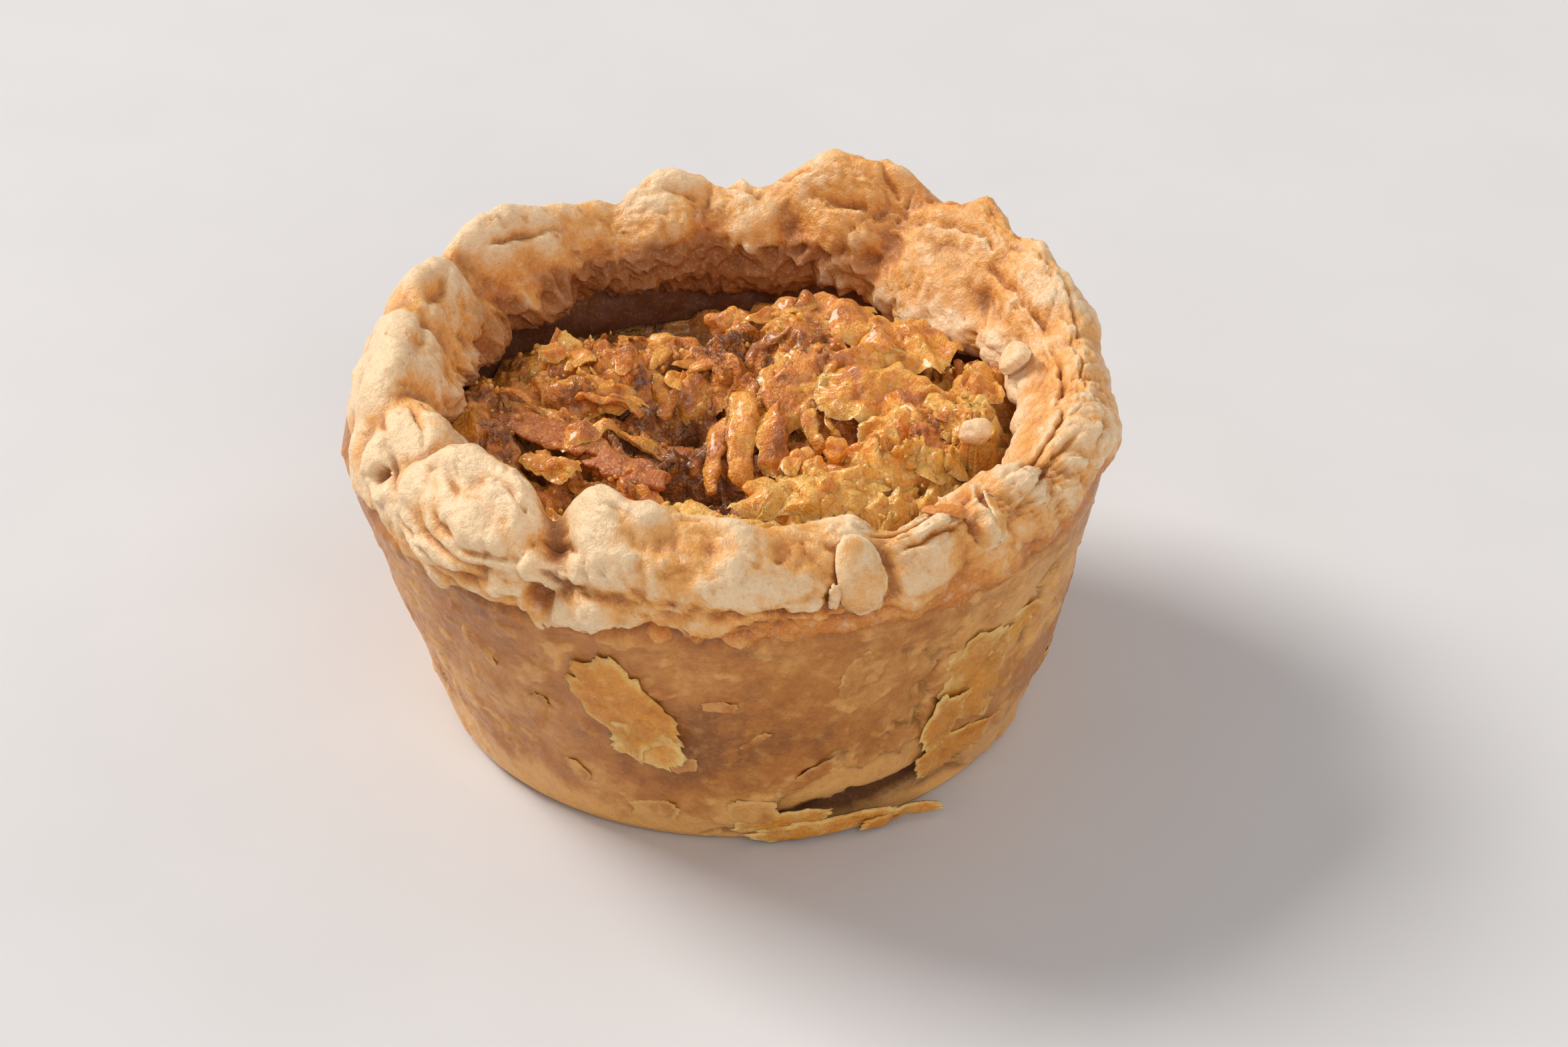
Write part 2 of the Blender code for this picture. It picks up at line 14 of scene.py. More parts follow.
import bpy
import numpy as np
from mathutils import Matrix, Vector


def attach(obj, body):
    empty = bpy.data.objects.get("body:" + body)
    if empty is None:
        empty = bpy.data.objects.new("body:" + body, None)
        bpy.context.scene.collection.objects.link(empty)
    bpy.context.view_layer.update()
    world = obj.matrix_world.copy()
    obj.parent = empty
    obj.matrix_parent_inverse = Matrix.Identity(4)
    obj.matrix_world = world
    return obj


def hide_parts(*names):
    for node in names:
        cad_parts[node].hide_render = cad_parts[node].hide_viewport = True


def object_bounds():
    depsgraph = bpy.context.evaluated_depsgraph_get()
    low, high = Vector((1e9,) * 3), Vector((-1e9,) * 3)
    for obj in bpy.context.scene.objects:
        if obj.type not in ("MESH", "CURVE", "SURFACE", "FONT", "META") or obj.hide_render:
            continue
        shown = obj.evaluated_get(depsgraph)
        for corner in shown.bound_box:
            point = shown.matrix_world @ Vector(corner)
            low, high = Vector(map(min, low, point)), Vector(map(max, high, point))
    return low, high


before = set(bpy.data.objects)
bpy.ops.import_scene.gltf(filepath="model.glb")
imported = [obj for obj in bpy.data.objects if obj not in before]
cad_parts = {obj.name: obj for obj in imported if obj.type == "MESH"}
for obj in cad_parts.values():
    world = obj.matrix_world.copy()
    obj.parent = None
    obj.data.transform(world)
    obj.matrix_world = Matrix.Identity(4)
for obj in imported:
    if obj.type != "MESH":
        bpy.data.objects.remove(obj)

LOG = logging.getLogger("butter_tart")
MM = 0.001
CAD_BOX = [list(corner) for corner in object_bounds()]

Array = np.ndarray
Values = dict[str, Array]
Pair = tuple[float, float]
Triple = tuple[float, float, float]
Window = tuple[float, float, int]
Table = tuple[tuple[float, ...], ...]
Piece = bpy.types.Object


class Node(Enum):
    """The model's two solids, which the pieces here replace."""

    SHELL = "pastry_shell"
    FILLING = "filling"


class Slot(Enum):
    """The record's material slots."""

    PASTRY = "baked_pastry"
    FILLING = "toasted_filling"


# ---- Noise and shaping functions ----


SCRAMBLERS = (374761393, 668265263, 1440662683, 1274126177, 1103515245)
WORD = 0xFFFFFFFF


def lattice_gradient(ix: Array, iy: Array, iz: Array, seed: int) -> Array:
    """Gives one repeatable gradient for each lattice point, from an integer hash.

    Args:
        ix: Lattice places along X, as whole numbers.
        iy: Lattice places along Y.
        iz: Lattice places along Z.
        seed: Chooses another field.

    Returns:
        Gradients with three parts from -1 to 1.
    """
    along_x, along_y, along_z, by_seed, again = SCRAMBLERS
    parts = []
    for turn in range(3):
        h = (ix * along_x + iy * along_y + iz * along_z + (seed * 3 + turn) * by_seed) & WORD
        h = ((h ^ (h >> 13)) * again) & WORD
        h = ((h ^ (h >> 15)) * along_y) & WORD
        parts.append(((h ^ (h >> 16)) & 0xFFFF) / 32767.5 - 1.0)
    return np.stack(parts, -1)


def dough_noise(points: Array, size: float, seed: int = 0) -> Array:
    """Smooth gradient noise: each cell's eight corner gradients, dotted with the way to them and eased.

    Args:
        points: Places, with X, Y and Z on the last axis, in mm.
        size: Breadth of a bump, in mm.
        seed: Chooses another field.

    Returns:
        Values of about -1 to 1, in the shape of the places.
    """
    flat = points.reshape(-1, 3) / size
    cell = np.floor(flat).astype(np.int64)
    f = flat - cell
    fade = f * f * f * (f * (f * 6 - 15) + 10)
    total = np.zeros(len(flat))
    for corner in range(8):
        step = np.array([corner & 1, corner >> 1 & 1, corner >> 2 & 1])
        gradient = lattice_gradient(*(cell + step).T, seed)
        weight = np.prod(np.where(step == 1, fade, 1 - fade), axis=1)
        total += weight * ((f - step) * gradient).sum(1)
    return (total * 1.6).reshape(points.shape[:-1])


def layered_noise(points: Array, size: float, seed: int, layers: int = 3) -> Array:
    """Sum of noises, each half the size and half the height of the last.

    Args:
        points: Places, in mm.
        size: Breadth of the largest bumps, in mm.
        seed: Chooses another field.
        layers: How many noises are added.

    Returns:
        Values of about -1 to 1.
    """
    return sum(dough_noise(points, size / 2**k, seed + k) / 2**k for k in range(layers))


def cell_distance(points: Array, size: float, seed: int) -> Array:
    """Distance to the nearest of one scattered point a lattice cell, in cells.

    Args:
        points: Places, in mm.
        size: Breadth of a cell, in mm.
        seed: Chooses another scatter.

    Returns:
        Values of 0 to about 1, in the shape of the places.
    """
    flat = points.reshape(-1, 3) / size
    cell = np.floor(flat).astype(np.int64)
    best = np.full(len(flat), 9.0)
    for corner in range(27):
        near = cell + np.array([corner % 3, corner // 3 % 3, corner // 9]) - 1
        middle = near + 0.5 + 0.42 * lattice_gradient(*near.T, seed)
        best = np.minimum(best, ((flat - middle) ** 2).sum(1))
    return np.sqrt(best).reshape(points.shape[:-1])


def warped(points: Array, size: float, shift: float, seed: int) -> Array:
    """The places moved by three noises, which makes the next noise on them look torn and folded.

    Args:
        points: Places, in mm.
        size: Breadth of the swirls, in mm.
        shift: How far they move, in mm.
        seed: Chooses another field.

    Returns:
        The moved places.
    """
    return points + shift * np.stack([dough_noise(points, size, seed + k) for k in range(3)], -1)


SUNK_Z = (20.5, 25.5)


def sunk(points: Array) -> Array:
    """How deep in the filling places lie, as a mask for painted shade: 1 at the lower of the two heights, 0
    at the upper.
    """
    return 1 - ramp(points[..., 2], *SUNK_Z)


def billows(points: Array, size: float, seed: int) -> Array:
    """Rounded bumps with sharp valleys between them: twice the noise without its sign, less the mean."""
    return 2 * np.abs(dough_noise(points, size, seed)) - 0.45


def ridged(points: Array, size: float, seed: int) -> Array:
    """Sharp crests with smooth bowls between them: 1 less the noise without its sign, about a mean of 0."""
    return 0.62 - 2.6 * np.abs(dough_noise(points, size, seed))


def ramp(value: Array, start: float, end: float) -> Array:
    """0 before the start, 1 past the end, and eased between them (the smoothstep curve)."""
    t = np.clip((value - start) / (end - start), 0, 1)
    return t * t * (3 - 2 * t)


def straight_ramp(value: Array, start: float, end: float) -> Array:
    """0 before the start, 1 past the end, and straight between them."""
    return np.clip((value - start) / (end - start), 0, 1)


def band(value: Array, rising: Pair, falling: Pair) -> Array:
    """1 between two eased ends: it rises over the first pair and falls over the second."""
    return ramp(value, *rising) * (1 - ramp(value, *falling))


def turned(angle_deg: Array, other_deg: Array | float) -> Array:
    """The signed difference of two angles, from -180 to 180 degrees."""
    return (angle_deg - other_deg + 180) % 360 - 180


def window(angle_deg: Array, middle: float, half: float, power: int = 2) -> Array:
    """A smooth window round an angle: exp(-(distance / half width)^power)."""
    return np.exp(-((turned(angle_deg, middle) / half) ** power))


def spot(angle_deg: Array, up: Array, middle: Pair, half: Pair) -> Array:
    """A smooth oval spot about an (angle, up) place: exp(-u^2 - v^2)."""
    across = turned(angle_deg, middle[0]) / half[0]
    return np.exp(-(across**2) - ((up - middle[1]) / half[1]) ** 2)


def polar(angle_deg: Array, radius: Array | float, z: Array | float) -> Array:
    """Places from angle, radius and height: (r cos a, r sin a, z)."""
    turn = np.radians(angle_deg)
    return np.stack([radius * np.cos(turn), radius * np.sin(turn), z + 0 * turn], -1)


def level_place(x: Array, y: Array) -> Array:
    """Places at height 0, for noise that is the same at every height."""
    return np.stack([x, y, 0 * x], -1)


def rotated(x: Array, y: Array, turn: Array | float) -> tuple[Array, Array]:
    """Coordinates turned by an angle in radians: (x cos t - y sin t, x sin t + y cos t)."""
    return x * np.cos(turn) - y * np.sin(turn), x * np.sin(turn) + y * np.cos(turn)


def scattered(rng: np.random.Generator, count: int, spread: float) -> tuple[Array, Array]:
    """Coordinates spread evenly over a disc: radius spread * sqrt(u), on a bearing of its own."""
    reach = spread * np.sqrt(rng.uniform(0, 1, count))
    way = rng.uniform(0, 2 * np.pi, count)
    return reach * np.cos(way), reach * np.sin(way)


def two_sides(rings: int) -> Array:
    """-1 for a thin disc's rings below and 1 for those above, as disc by ring by point."""
    return np.repeat([-1.0, 1.0], rings)[None, :, None]


def half_thickness(share: Array, thick: Array | float) -> Array:
    """Half a thin disc's thickness, which ends round at its edge: thick / 2 * sqrt(1 - share^4)."""
    return 0.5 * thick * np.sqrt(np.clip(1 - share**4, 0, 1))


def table_of(kind: type, *rows: tuple) -> tuple:
    """One object of a kind for each row of its field values."""
    return tuple(kind(*row) for row in rows)


def columns(items: tuple) -> Values:
    """The fields of some objects of one kind, each as an array, by the field's name."""
    return {key: np.array([getattr(item, key) for item in items]) for key in items[0].__dataclass_fields__}


def blurred(field_values: Array, reach: int, wrap: tuple[bool, bool]) -> Array:
    """Means over a square of grid neighbours, by running sums along both ways.

    Args:
        field_values: A grid of numbers.
        reach: Neighbours taken on each side.
        wrap: Whether the grid closes on itself along each of its two ways.

    Returns:
        The smoothed grid.
    """
    out = field_values
    for way in (0, 1):
        pad = [(reach + 1, reach) if k == way else (0, 0) for k in (0, 1)]
        wide = np.pad(out, pad, mode="wrap" if wrap[way] else "edge")
        run = np.moveaxis(np.cumsum(wide, axis=way), way, 0)
        span = 2 * reach + 1
        out = np.moveaxis((run[span:] - run[:-span]) / span, 0, way)
    return out


# ---- The cup that everything is fitted to ----


@dataclass(frozen=True)
class Cup:
    """Sizes of the pastry cup, in mm, the same as the model's."""

    base_r: float = 31.0
    mouth_r: float = 40.0
    mouth_z: float = 30.5
    wall: float = 6.0
    floor: float = 5.0
    base_edge_r: float = 0.8
    lean: Pair = (-0.025, 0.025)

    def wall_radius(self, z: Array | float) -> Array | float:
        """Outside radius at a height: a straight taper from base to mouth."""
        return self.base_r + (self.mouth_r - self.base_r) * z / self.mouth_z

    def leaning(self, points: Array) -> Array:
        """The places shifted sideways with their height, by the cup's lean."""
        x = points[..., 0] + self.lean[0] * points[..., 2]
        y = points[..., 1] + self.lean[1] * (points[..., 2] - self.mouth_z)
        return np.stack([x, y, points[..., 2]], -1)

    def place(self, angle_deg: Array, radius: Array, z: Array) -> Array:
        """Places from angle, radius and height, then the lean."""
        return self.leaning(polar(angle_deg, radius, z))


CUP = Cup()


# ---- Meshes from arrays ----


def inside_box(points: Array) -> Array:
    """The places, in mm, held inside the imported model's box."""
    low, high = np.array(CAD_BOX) / MM
    return np.clip(points, low, high)


def mesh_object(name: str, points: Array, quads: Array, triangles: Array, values: Values) -> Piece:
    """Makes a smooth mesh object from arrays.

    Args:
        name: The piece's name.
        points: Places in mm, as rows of X, Y and Z.
        quads: Rows of four point numbers.
        triangles: Rows of three point numbers.
        values: One number a point, by attribute name.

    Returns:
        The object, at the origin.
    """
    mesh = bpy.data.meshes.new(name)
    corners = np.concatenate([quads.ravel(), triangles.ravel()]).astype(np.int32)
    counts = np.concatenate([np.full(len(quads), 4), np.full(len(triangles), 3)])
    starts = np.concatenate([[0], np.cumsum(counts)[:-1]]).astype(np.int32)
    mesh.vertices.add(len(points))
    mesh.vertices.foreach_set("co", (inside_box(points) * MM).astype(np.float32).ravel())
    mesh.loops.add(len(corners))
    mesh.loops.foreach_set("vertex_index", corners)
    mesh.polygons.add(len(starts))
    mesh.polygons.foreach_set("loop_start", starts)
    mesh.update(calc_edges=True)
    mesh.validate()
    mesh.shade_smooth()
    for key, numbers in values.items():
        held = mesh.attributes.new(key, "FLOAT", "POINT").data
        held.foreach_set("value", numbers.astype(np.float32).ravel())
    made = bpy.data.objects.new(name, mesh)
    bpy.context.scene.collection.objects.link(made)
    return made


def grid_quads(rows: int, ring: int, close_rows: bool) -> Array:
    """Four point numbers for each face of a grid of rings, which closes round each ring."""
    r = np.arange(rows if close_rows else rows - 1)[:, None]
    k = np.arange(ring)[None, :]
    up, on = (r + 1) % rows, (k + 1) % ring
    return np.stack([r * ring + k, r * ring + on, up * ring + on, up * ring + k], -1).reshape(-1, 4)


def hoop(name: str, points: Array, values: Values) -> Piece:
    """A grid that closes both ways, as a tyre does: section rings, one after another, round a hoop."""
    quads = grid_quads(*points.shape[:2], True)
    return mesh_object(name, points.reshape(-1, 3), quads, np.zeros((0, 3), int), values)


def bodies(name: str, points: Array, values: Values) -> Piece:
    """Joins many closed bodies of one make, each a stack of rings with a point at both ends.

    Args:
        name: The piece's name.
        points: Places in mm, as body by row by ring by (X, Y, Z). Seen from the last row, rings turn
            anticlockwise.
        values: Grids of numbers, as body by row by ring.

    Returns:
        The joined object.
    """
    count, rows, ring = points.shape[:3]
    each = rows * ring + 2
    ends = points[:, [0, -1]].mean(2)
    flat = np.concatenate([points.reshape(count, -1, 3), ends], 1)
    numbers = {
        key: np.concatenate([grid.reshape(count, -1), grid[:, [0, -1]].mean(2)], 1)
        for key, grid in values.items()
    }
    k = np.arange(ring)
    on = (k + 1) % ring
    low_fan = np.stack([np.full(ring, rows * ring), on, k], -1)
    high_fan = np.stack([np.full(ring, rows * ring + 1), (rows - 1) * ring + k, (rows - 1) * ring + on], -1)
    shift = (np.arange(count) * each)[:, None, None]
    quads = (grid_quads(rows, ring, False)[None] + shift).reshape(-1, 4)
    fans = (np.concatenate([low_fan, high_fan])[None] + shift).reshape(-1, 3)
    return mesh_object(name, flat.reshape(-1, 3), quads, fans, numbers)


# ---- Materials ----

Colour = Triple
Socket = bpy.types.NodeSocket


def linear(colour: Colour) -> tuple[float, float, float, float]:
    """Turns a screen colour, each part 0 to 1, into the linear light that shaders use."""
    parts = [c / 12.92 if c <= 0.04045 else ((c + 0.055) / 1.055) ** 2.4 for c in colour]
    return (*parts, 1.0)


class NodeDesk:
    """Builds one material's nodes, with short methods for what every finish here needs."""

    def __init__(self, name: str) -> None:
        """Starts a material with a Principled shader and object coordinates."""
        self.material = bpy.data.materials.new(name)
        self.material.use_nodes = True
        self.tree = self.material.node_tree
        self.shader = self.tree.nodes["Principled BSDF"]
        self.coordinates = self.tree.nodes.new("ShaderNodeTexCoord").outputs["Object"]

    def put(self, target: Socket, value: Socket | float | tuple) -> None:
        """Links a socket to the target, or sets the target's own value."""
        if isinstance(value, bpy.types.NodeSocket):
            self.tree.links.new(value, target)
        else:
            target.default_value = value

    def noise(self, size_mm: float, detail: float = 3.0, twist: float = 0.0, rough: float = 0.55) -> Socket:
        """Noise of 0 to 1 whose blotches are about `size_mm` across."""
        node = self.tree.nodes.new("ShaderNodeTexNoise")
        keys = ("Scale", "Detail", "Roughness", "Distortion", "Vector")
        for key, value in zip(keys, (1.0 / (size_mm * MM), detail, rough, twist, self.coordinates)):
            self.put(node.inputs[key], value)
        return node.outputs["Fac"]

    def attribute(self, name: str) -> Socket:
        """A number that the mesh carries at each point."""
        node = self.tree.nodes.new("ShaderNodeAttribute")
        node.attribute_name = name
        return node.outputs["Fac"]

    def maths(self, operation: str, one: Socket | float, two: Socket | float) -> Socket:
        """One sum of two numbers."""
        node = self.tree.nodes.new("ShaderNodeMath")
        node.operation = operation
        self.put(node.inputs[0], one)
        self.put(node.inputs[1], two)
        return node.outputs[0]

    def step(self, value: Socket, start: float, end: float, low: float = 0.0, high: float = 1.0) -> Socket:
        """An eased step from `low` to `high` as the value goes from `start` to `end`."""
        node = self.tree.nodes.new("ShaderNodeMapRange")
        node.interpolation_type = "SMOOTHSTEP"
        for key, number in zip(("From Min", "From Max", "To Min", "To Max"), (start, end, low, high)):
            node.inputs[key].default_value = number
        self.put(node.inputs["Value"], value)
        return node.outputs["Result"]

    def mix(self, share: Socket | float, one: Socket | tuple, two: Socket | tuple) -> Socket:
        """A colour between two, by a share of 0 to 1."""
        node = self.tree.nodes.new("ShaderNodeMix")
        node.data_type = "RGBA"
        self.put(node.inputs[0], share)
        self.put(node.inputs[6], one)
        self.put(node.inputs[7], two)
        return node.outputs[2]

    def spread(self, value: Socket, most: float) -> Socket:
        """Turns a noise of 0 to 1 to one of -`most` to `most`, eased at both ends."""
        return self.step(value, 0.3, 0.7, -most, most)

    def tint(
        self, colour: Socket | tuple, value: Socket, ends: Pair, target: Colour, most: float = 1.0
    ) -> Socket:
        """Turns a colour to the target, by a share of 0 to `most`, as the value goes between two ends."""
        return self.mix(self.step(value, *ends, 0.0, most), colour, linear(target))

    def dials(self, **settings: float | tuple) -> None:
        """Sets the shader's own numbers. A name's underscores stand for the spaces in a socket's name."""
        for key, value in settings.items():
            self.shader.inputs[key.replace("_", " ")].default_value = value

    def bump(self, height: Socket, depth_mm: float, strength: float, under: Socket | None = None) -> Socket:
        """A bumped normal, laid over another one where that is given."""
        node = self.tree.nodes.new("ShaderNodeBump")
        node.inputs["Strength"].default_value = strength
        node.inputs["Distance"].default_value = depth_mm * MM
        self.put(node.inputs["Height"], height)
        if under is not None:
            self.put(node.inputs["Normal"], under)
        return node.outputs["Normal"]

    def closed(self, colour: Socket, roughness: Socket | float, normal: Socket | None) -> bpy.types.Material:
        """Links the colour, the roughness and the normal to the shader, and gives the material."""
        self.put(self.shader.inputs["Base Color"], colour)
        self.put(self.shader.inputs["Roughness"], roughness)
        if normal is not None:
            self.put(self.shader.inputs["Normal"], normal)
        return self.material


@dataclass(frozen=True)
class PastryFinish:
    """Baked short pastry: cream where thick and pale, gold and brown where baked, with painted shade in
    folds and hollows.
    """

    name: str
    pale: Colour = (0.97, 0.83, 0.65)
    gold: Colour = (0.94, 0.67, 0.34)
    brown: Colour = (0.87, 0.53, 0.18)
    # fold: dark brown laid as painted shade in folds and hollows, and used for dark crumb specks
    fold: Colour = (0.58, 0.32, 0.13)
    butter: Colour = (0.98, 0.89, 0.74)
    roughness: float = 0.35
    grain_mm: float = 0.55
    depth_mm: float = 0.24
    blotch_mm: float = 6.0
    blotch_share: float = 0.15
    mottle_mm: float = 1.9
    mottle_share: float = 0.12
    spot_mm: float = 1.8
    spot_share: float = 0.38
    spot_edge: float = 0.75
    freckle_mm: float = 1.3
    freckle_share: float = 0.18
    crumb_mm: float = 0.42
    crumb_share: float = 0.16
    shade_share: float = 0.9

    def material(self) -> bpy.types.Material:
        """Bakes the colour from the mesh's browning number, which also holds painted light and shade, from
        its painted-shade number and from several noises.
        """
        desk = NodeDesk(self.name)
        blotches = desk.spread(desk.noise(self.blotch_mm, 5.0), self.blotch_share)
        mottle = desk.spread(desk.noise(self.mottle_mm, 4.0, 0.0, 0.65), self.mottle_share)
        bake = desk.maths("ADD", desk.attribute("bake"), desk.maths("ADD", blotches, mottle))
        colour = desk.tint(linear(self.pale), bake, (0.05, 0.65), self.gold)
        colour = desk.tint(colour, bake, (0.55, 1.15), self.brown)
        spots, freckles = desk.noise(self.spot_mm, 4.0), desk.noise(self.freckle_mm, 4.0)
        colour = desk.tint(colour, spots, (0.52, self.spot_edge), self.butter, self.spot_share)
        colour = desk.tint(colour, freckles, (0.55, 0.78), self.brown, self.freckle_share)
        # Painted shade: the fold colour darkens the places that the mesh's shade number marks: folds,
        # hollows, the cave and undersides.
        colour = desk.tint(colour, desk.attribute("painted_shade"), (0.0, 1.0), self.fold, self.shade_share)
        crumb = desk.noise(self.crumb_mm, 3.0, 0.0, 0.7)
        colour = desk.tint(colour, crumb, (0.52, 0.66), self.butter, self.crumb_share)
        colour = desk.tint(colour, crumb, (0.48, 0.34), self.fold, self.crumb_share)
        gloss = desk.step(desk.noise(1.2, 4.0), 0.35, 0.7, self.roughness - 0.12, self.roughness + 0.18)
        dull = desk.step(desk.attribute("painted_shade"), 0.4, 1.0, 0.0, 0.4)
        desk.dials(Specular_IOR_Level=0.5, Subsurface_Weight=0.2)
        desk.dials(Subsurface_Radius=(0.0013, 0.0010, 0.0007), Subsurface_Scale=1.0)
        coarse = desk.bump(desk.noise(self.grain_mm * 2.6, 4.0, 0.4, 0.65), self.depth_mm * 1.7, 0.8)
        fine = desk.bump(desk.noise(self.grain_mm, 4.0, 0.2, 0.7), self.depth_mm, 0.85, coarse)
        return desk.closed(colour, desk.maths("ADD", gloss, dull), fine)


@dataclass(frozen=True)
class FillingFinish:
    """Caramelised filling: amber and orange crust, with painted shade in its hollows and pale sugary specks
    that are partly painted glints, glossy where the sugary coat set.
    """

    name: str
    # deep: the caramel's darkest brown, also laid as painted shade in hollows and deep places.
    deep: Colour = (0.53, 0.30, 0.12)
    orange: Colour = (0.89, 0.53, 0.17)
    amber: Colour = (0.98, 0.65, 0.21)
    straw: Colour = (1.0, 0.75, 0.36)
    # Pale sugary specks, which also serve as painted glints.
    sugar_and_glint: Colour = (1.0, 0.87, 0.58)
    sugar_and_glint_mm: float = 0.38
    sugar_and_glint_share: float = 0.4
    roughness: float = 0.36
    grain_mm: float = 0.55
    depth_mm: float = 0.46
    coat: float = 0.42

    def material(self) -> bpy.types.Material:
        """Mixes four tones by the mesh's tone number and by noise, and lays painted shade by its shade
        number.
        """
        desk = NodeDesk(self.name)
        tone = desk.maths("ADD", desk.attribute("tone"), desk.spread(desk.noise(3.2, 4.0, 0.8), 0.28))
        tone = desk.maths("ADD", tone, desk.spread(desk.noise(0.7, 3.0, 0.0, 0.65), 0.12))
        colour = desk.tint(linear(self.deep), tone, (0.0, 0.45), self.orange)
        colour = desk.tint(colour, tone, (0.35, 0.7), self.amber)
        colour = desk.tint(colour, tone, (0.65, 1.05), self.straw)
        # Painted shade: hollows, undersides and deep places are darkened towards the deep colour.
        colour = desk.tint(colour, desk.attribute("painted_shade"), (0.0, 1.0), self.deep, 0.8)
        # Pale sugary specks, partly painted glints; low grains turn orange.
        grains = desk.noise(self.sugar_and_glint_mm, 2.0, 0.0, 0.6)
        colour = desk.tint(colour, grains, (0.56, 0.70), self.sugar_and_glint, self.sugar_and_glint_share)
        colour = desk.tint(colour, grains, (0.44, 0.32), self.orange, 0.25)
        gloss = desk.step(desk.noise(0.9, 3.0), 0.35, 0.7, self.roughness - 0.18, self.roughness + 0.22)
        desk.dials(Specular_IOR_Level=0.6, Subsurface_Weight=0.35)
        desk.dials(Coat_Weight=self.coat, Coat_Roughness=0.12)
        desk.dials(Subsurface_Radius=(0.0014, 0.0010, 0.0007), Subsurface_Scale=1.0)
        coarse = desk.bump(desk.noise(1.3, 4.0, 0.6, 0.65), self.depth_mm * 1.8, 0.9)
        fine = desk.bump(desk.noise(self.grain_mm, 3.0, 0.2, 0.6), self.depth_mm, 0.8, coarse)
        return desk.closed(colour, gloss, fine)


@dataclass(frozen=True)
class FloorFinish:
    """Plain pale matt table top."""

    name: str
    colour: Colour = (0.84, 0.83, 0.825)
    mottle: float = 0.008
    roughness: float = 0.6

    def material(self) -> bpy.types.Material:
        """One pale colour with the faintest mottle."""
        desk = NodeDesk(self.name)
        low = linear(tuple(part - self.mottle for part in self.colour))
        colour = desk.tint(low, desk.noise(22.0, 2.0), (0.3, 0.7), self.colour)
        return desk.closed(colour, self.roughness, None)


def dress(piece: Piece, material: bpy.types.Material, node: Node) -> None:
    """Gives a piece its finish, hangs it under the root and hides the solid that it stands for.

    Args:
        piece: The finished mesh object.
        material: Its finish.
        node: The solid that it replaces.
    """
    piece.data.materials.append(material)
    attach(piece, "root")
    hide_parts(node.value)
    LOG.info("%s: %d faces", piece.name, len(piece.data.polygons))


# ---- The crimped rim ----


@dataclass(frozen=True)
class Lobe:
    """One crimped lobe: its angle and four (radius, height) points of its section, outside to inside."""

    angle: float
    outer: Pair
    crest: Pair
    brow: Pair
    inner: Pair


@dataclass(frozen=True)
class Crease:
    """The valley between two lobes. It leans round by `slant` degrees from the outside to the inside."""

    angle: float
    depth: float
    slant: float = 0.0


@dataclass(frozen=True)
class Swelling:
    """A rounded swelling of dough, or a dent where `rise` is below 0, centred at an angle and a height."""

    angle: float
    height: float
    half_width: float
    half_height: float
    rise: float
    lean: float = 0.0


@dataclass(frozen=True)
class Fold:
    """A line pressed in the rim between two (angle, t) places, or a ridge where `depth` is below 0."""

    start: Pair
    end: Pair
    depth: float = 0.7
    half_width: float = 0.6
    bow: float = 0.0
    step: float = 0.25


@dataclass(frozen=True)
class Patch:
    """A soft oval region of the rim, centred at an (angle, t) place."""

    angle: float
    t: float
    half_angle: float
    half_t: float
    strength: float


LOBES = table_of(
    Lobe,
    (4, (40.6, 34.0), (37.2, 37.8), (33.4, 36.0), (30.0, 31.0)),
    (22, (40.8, 35.0), (38.0, 39.9), (33.2, 37.5), (28.6, 30.8)),
    (42, (41.2, 36.0), (38.0, 41.8), (33.5, 38.5), (27.5, 30.5)),
    (69, (40.2, 36.5), (36.8, 43.2), (33.0, 39.6), (28.5, 31.0)),
    (88, (40.0, 34.6), (36.6, 38.8), (32.5, 36.8), (29.5, 31.5)),
    (101, (40.0, 34.3), (36.3, 40.4), (32.0, 37.3), (29.0, 31.5)),
    (116, (39.2, 33.6), (35.8, 37.6), (31.5, 36.2), (28.8, 31.0)),
    (134, (39.4, 34.3), (36.3, 40.5), (32.0, 37.3), (28.5, 30.5)),
    (156, (39.2, 34.3), (35.4, 40.7), (31.0, 38.3), (28.0, 31.0)),
    (180, (38.3, 35.0), (34.6, 41.0), (30.5, 39.0), (27.5, 31.5)),
    (203, (40.2, 34.0), (35.5, 38.8), (31.0, 38.0), (28.0, 32.0)),
    (228, (40.0, 35.5), (35.8, 41.4), (31.8, 40.5), (28.6, 33.5)),
    (248.5, (40.2, 37.0), (36.0, 43.8), (32.5, 42.0), (29.5, 34.5)),
    (268, (41.0, 36.5), (36.5, 41.2), (32.5, 39.5), (29.0, 32.5)),
    (286, (41.0, 36.0), (36.6, 40.2), (32.5, 38.5), (28.5, 32.0)),
    (303, (40.4, 34.5), (37.8, 38.4), (33.5, 36.0), (28.0, 31.5)),
    (322, (40.8, 35.5), (37.8, 39.4), (33.0, 37.0), (28.6, 31.0)),
    (341, (41.0, 35.5), (37.6, 38.6), (33.4, 36.2), (29.8, 31.6)),
)
CREASES = table_of(
    Crease,
    (13, 0.20, 8),
    (32, 0.16, -8),
    (55, 0.26, 10),
    (80, 0.24, -8),
    (94, 0.20, 7),
    (114, 0.30, 10),
    (145, 0.34, -8),
    (168, 0.18, 6),
    (192, 0.28, -9),
    (214, 0.34, 10),
    (241.5, 0.52, -6),
    (256, 0.05, 8),
    (277, 0.14, -8),
    (297, 0.20, 10),
    (312.5, 0.36, -11),
    (331, 0.24, 8),
    (353, 0.26, -8),
)
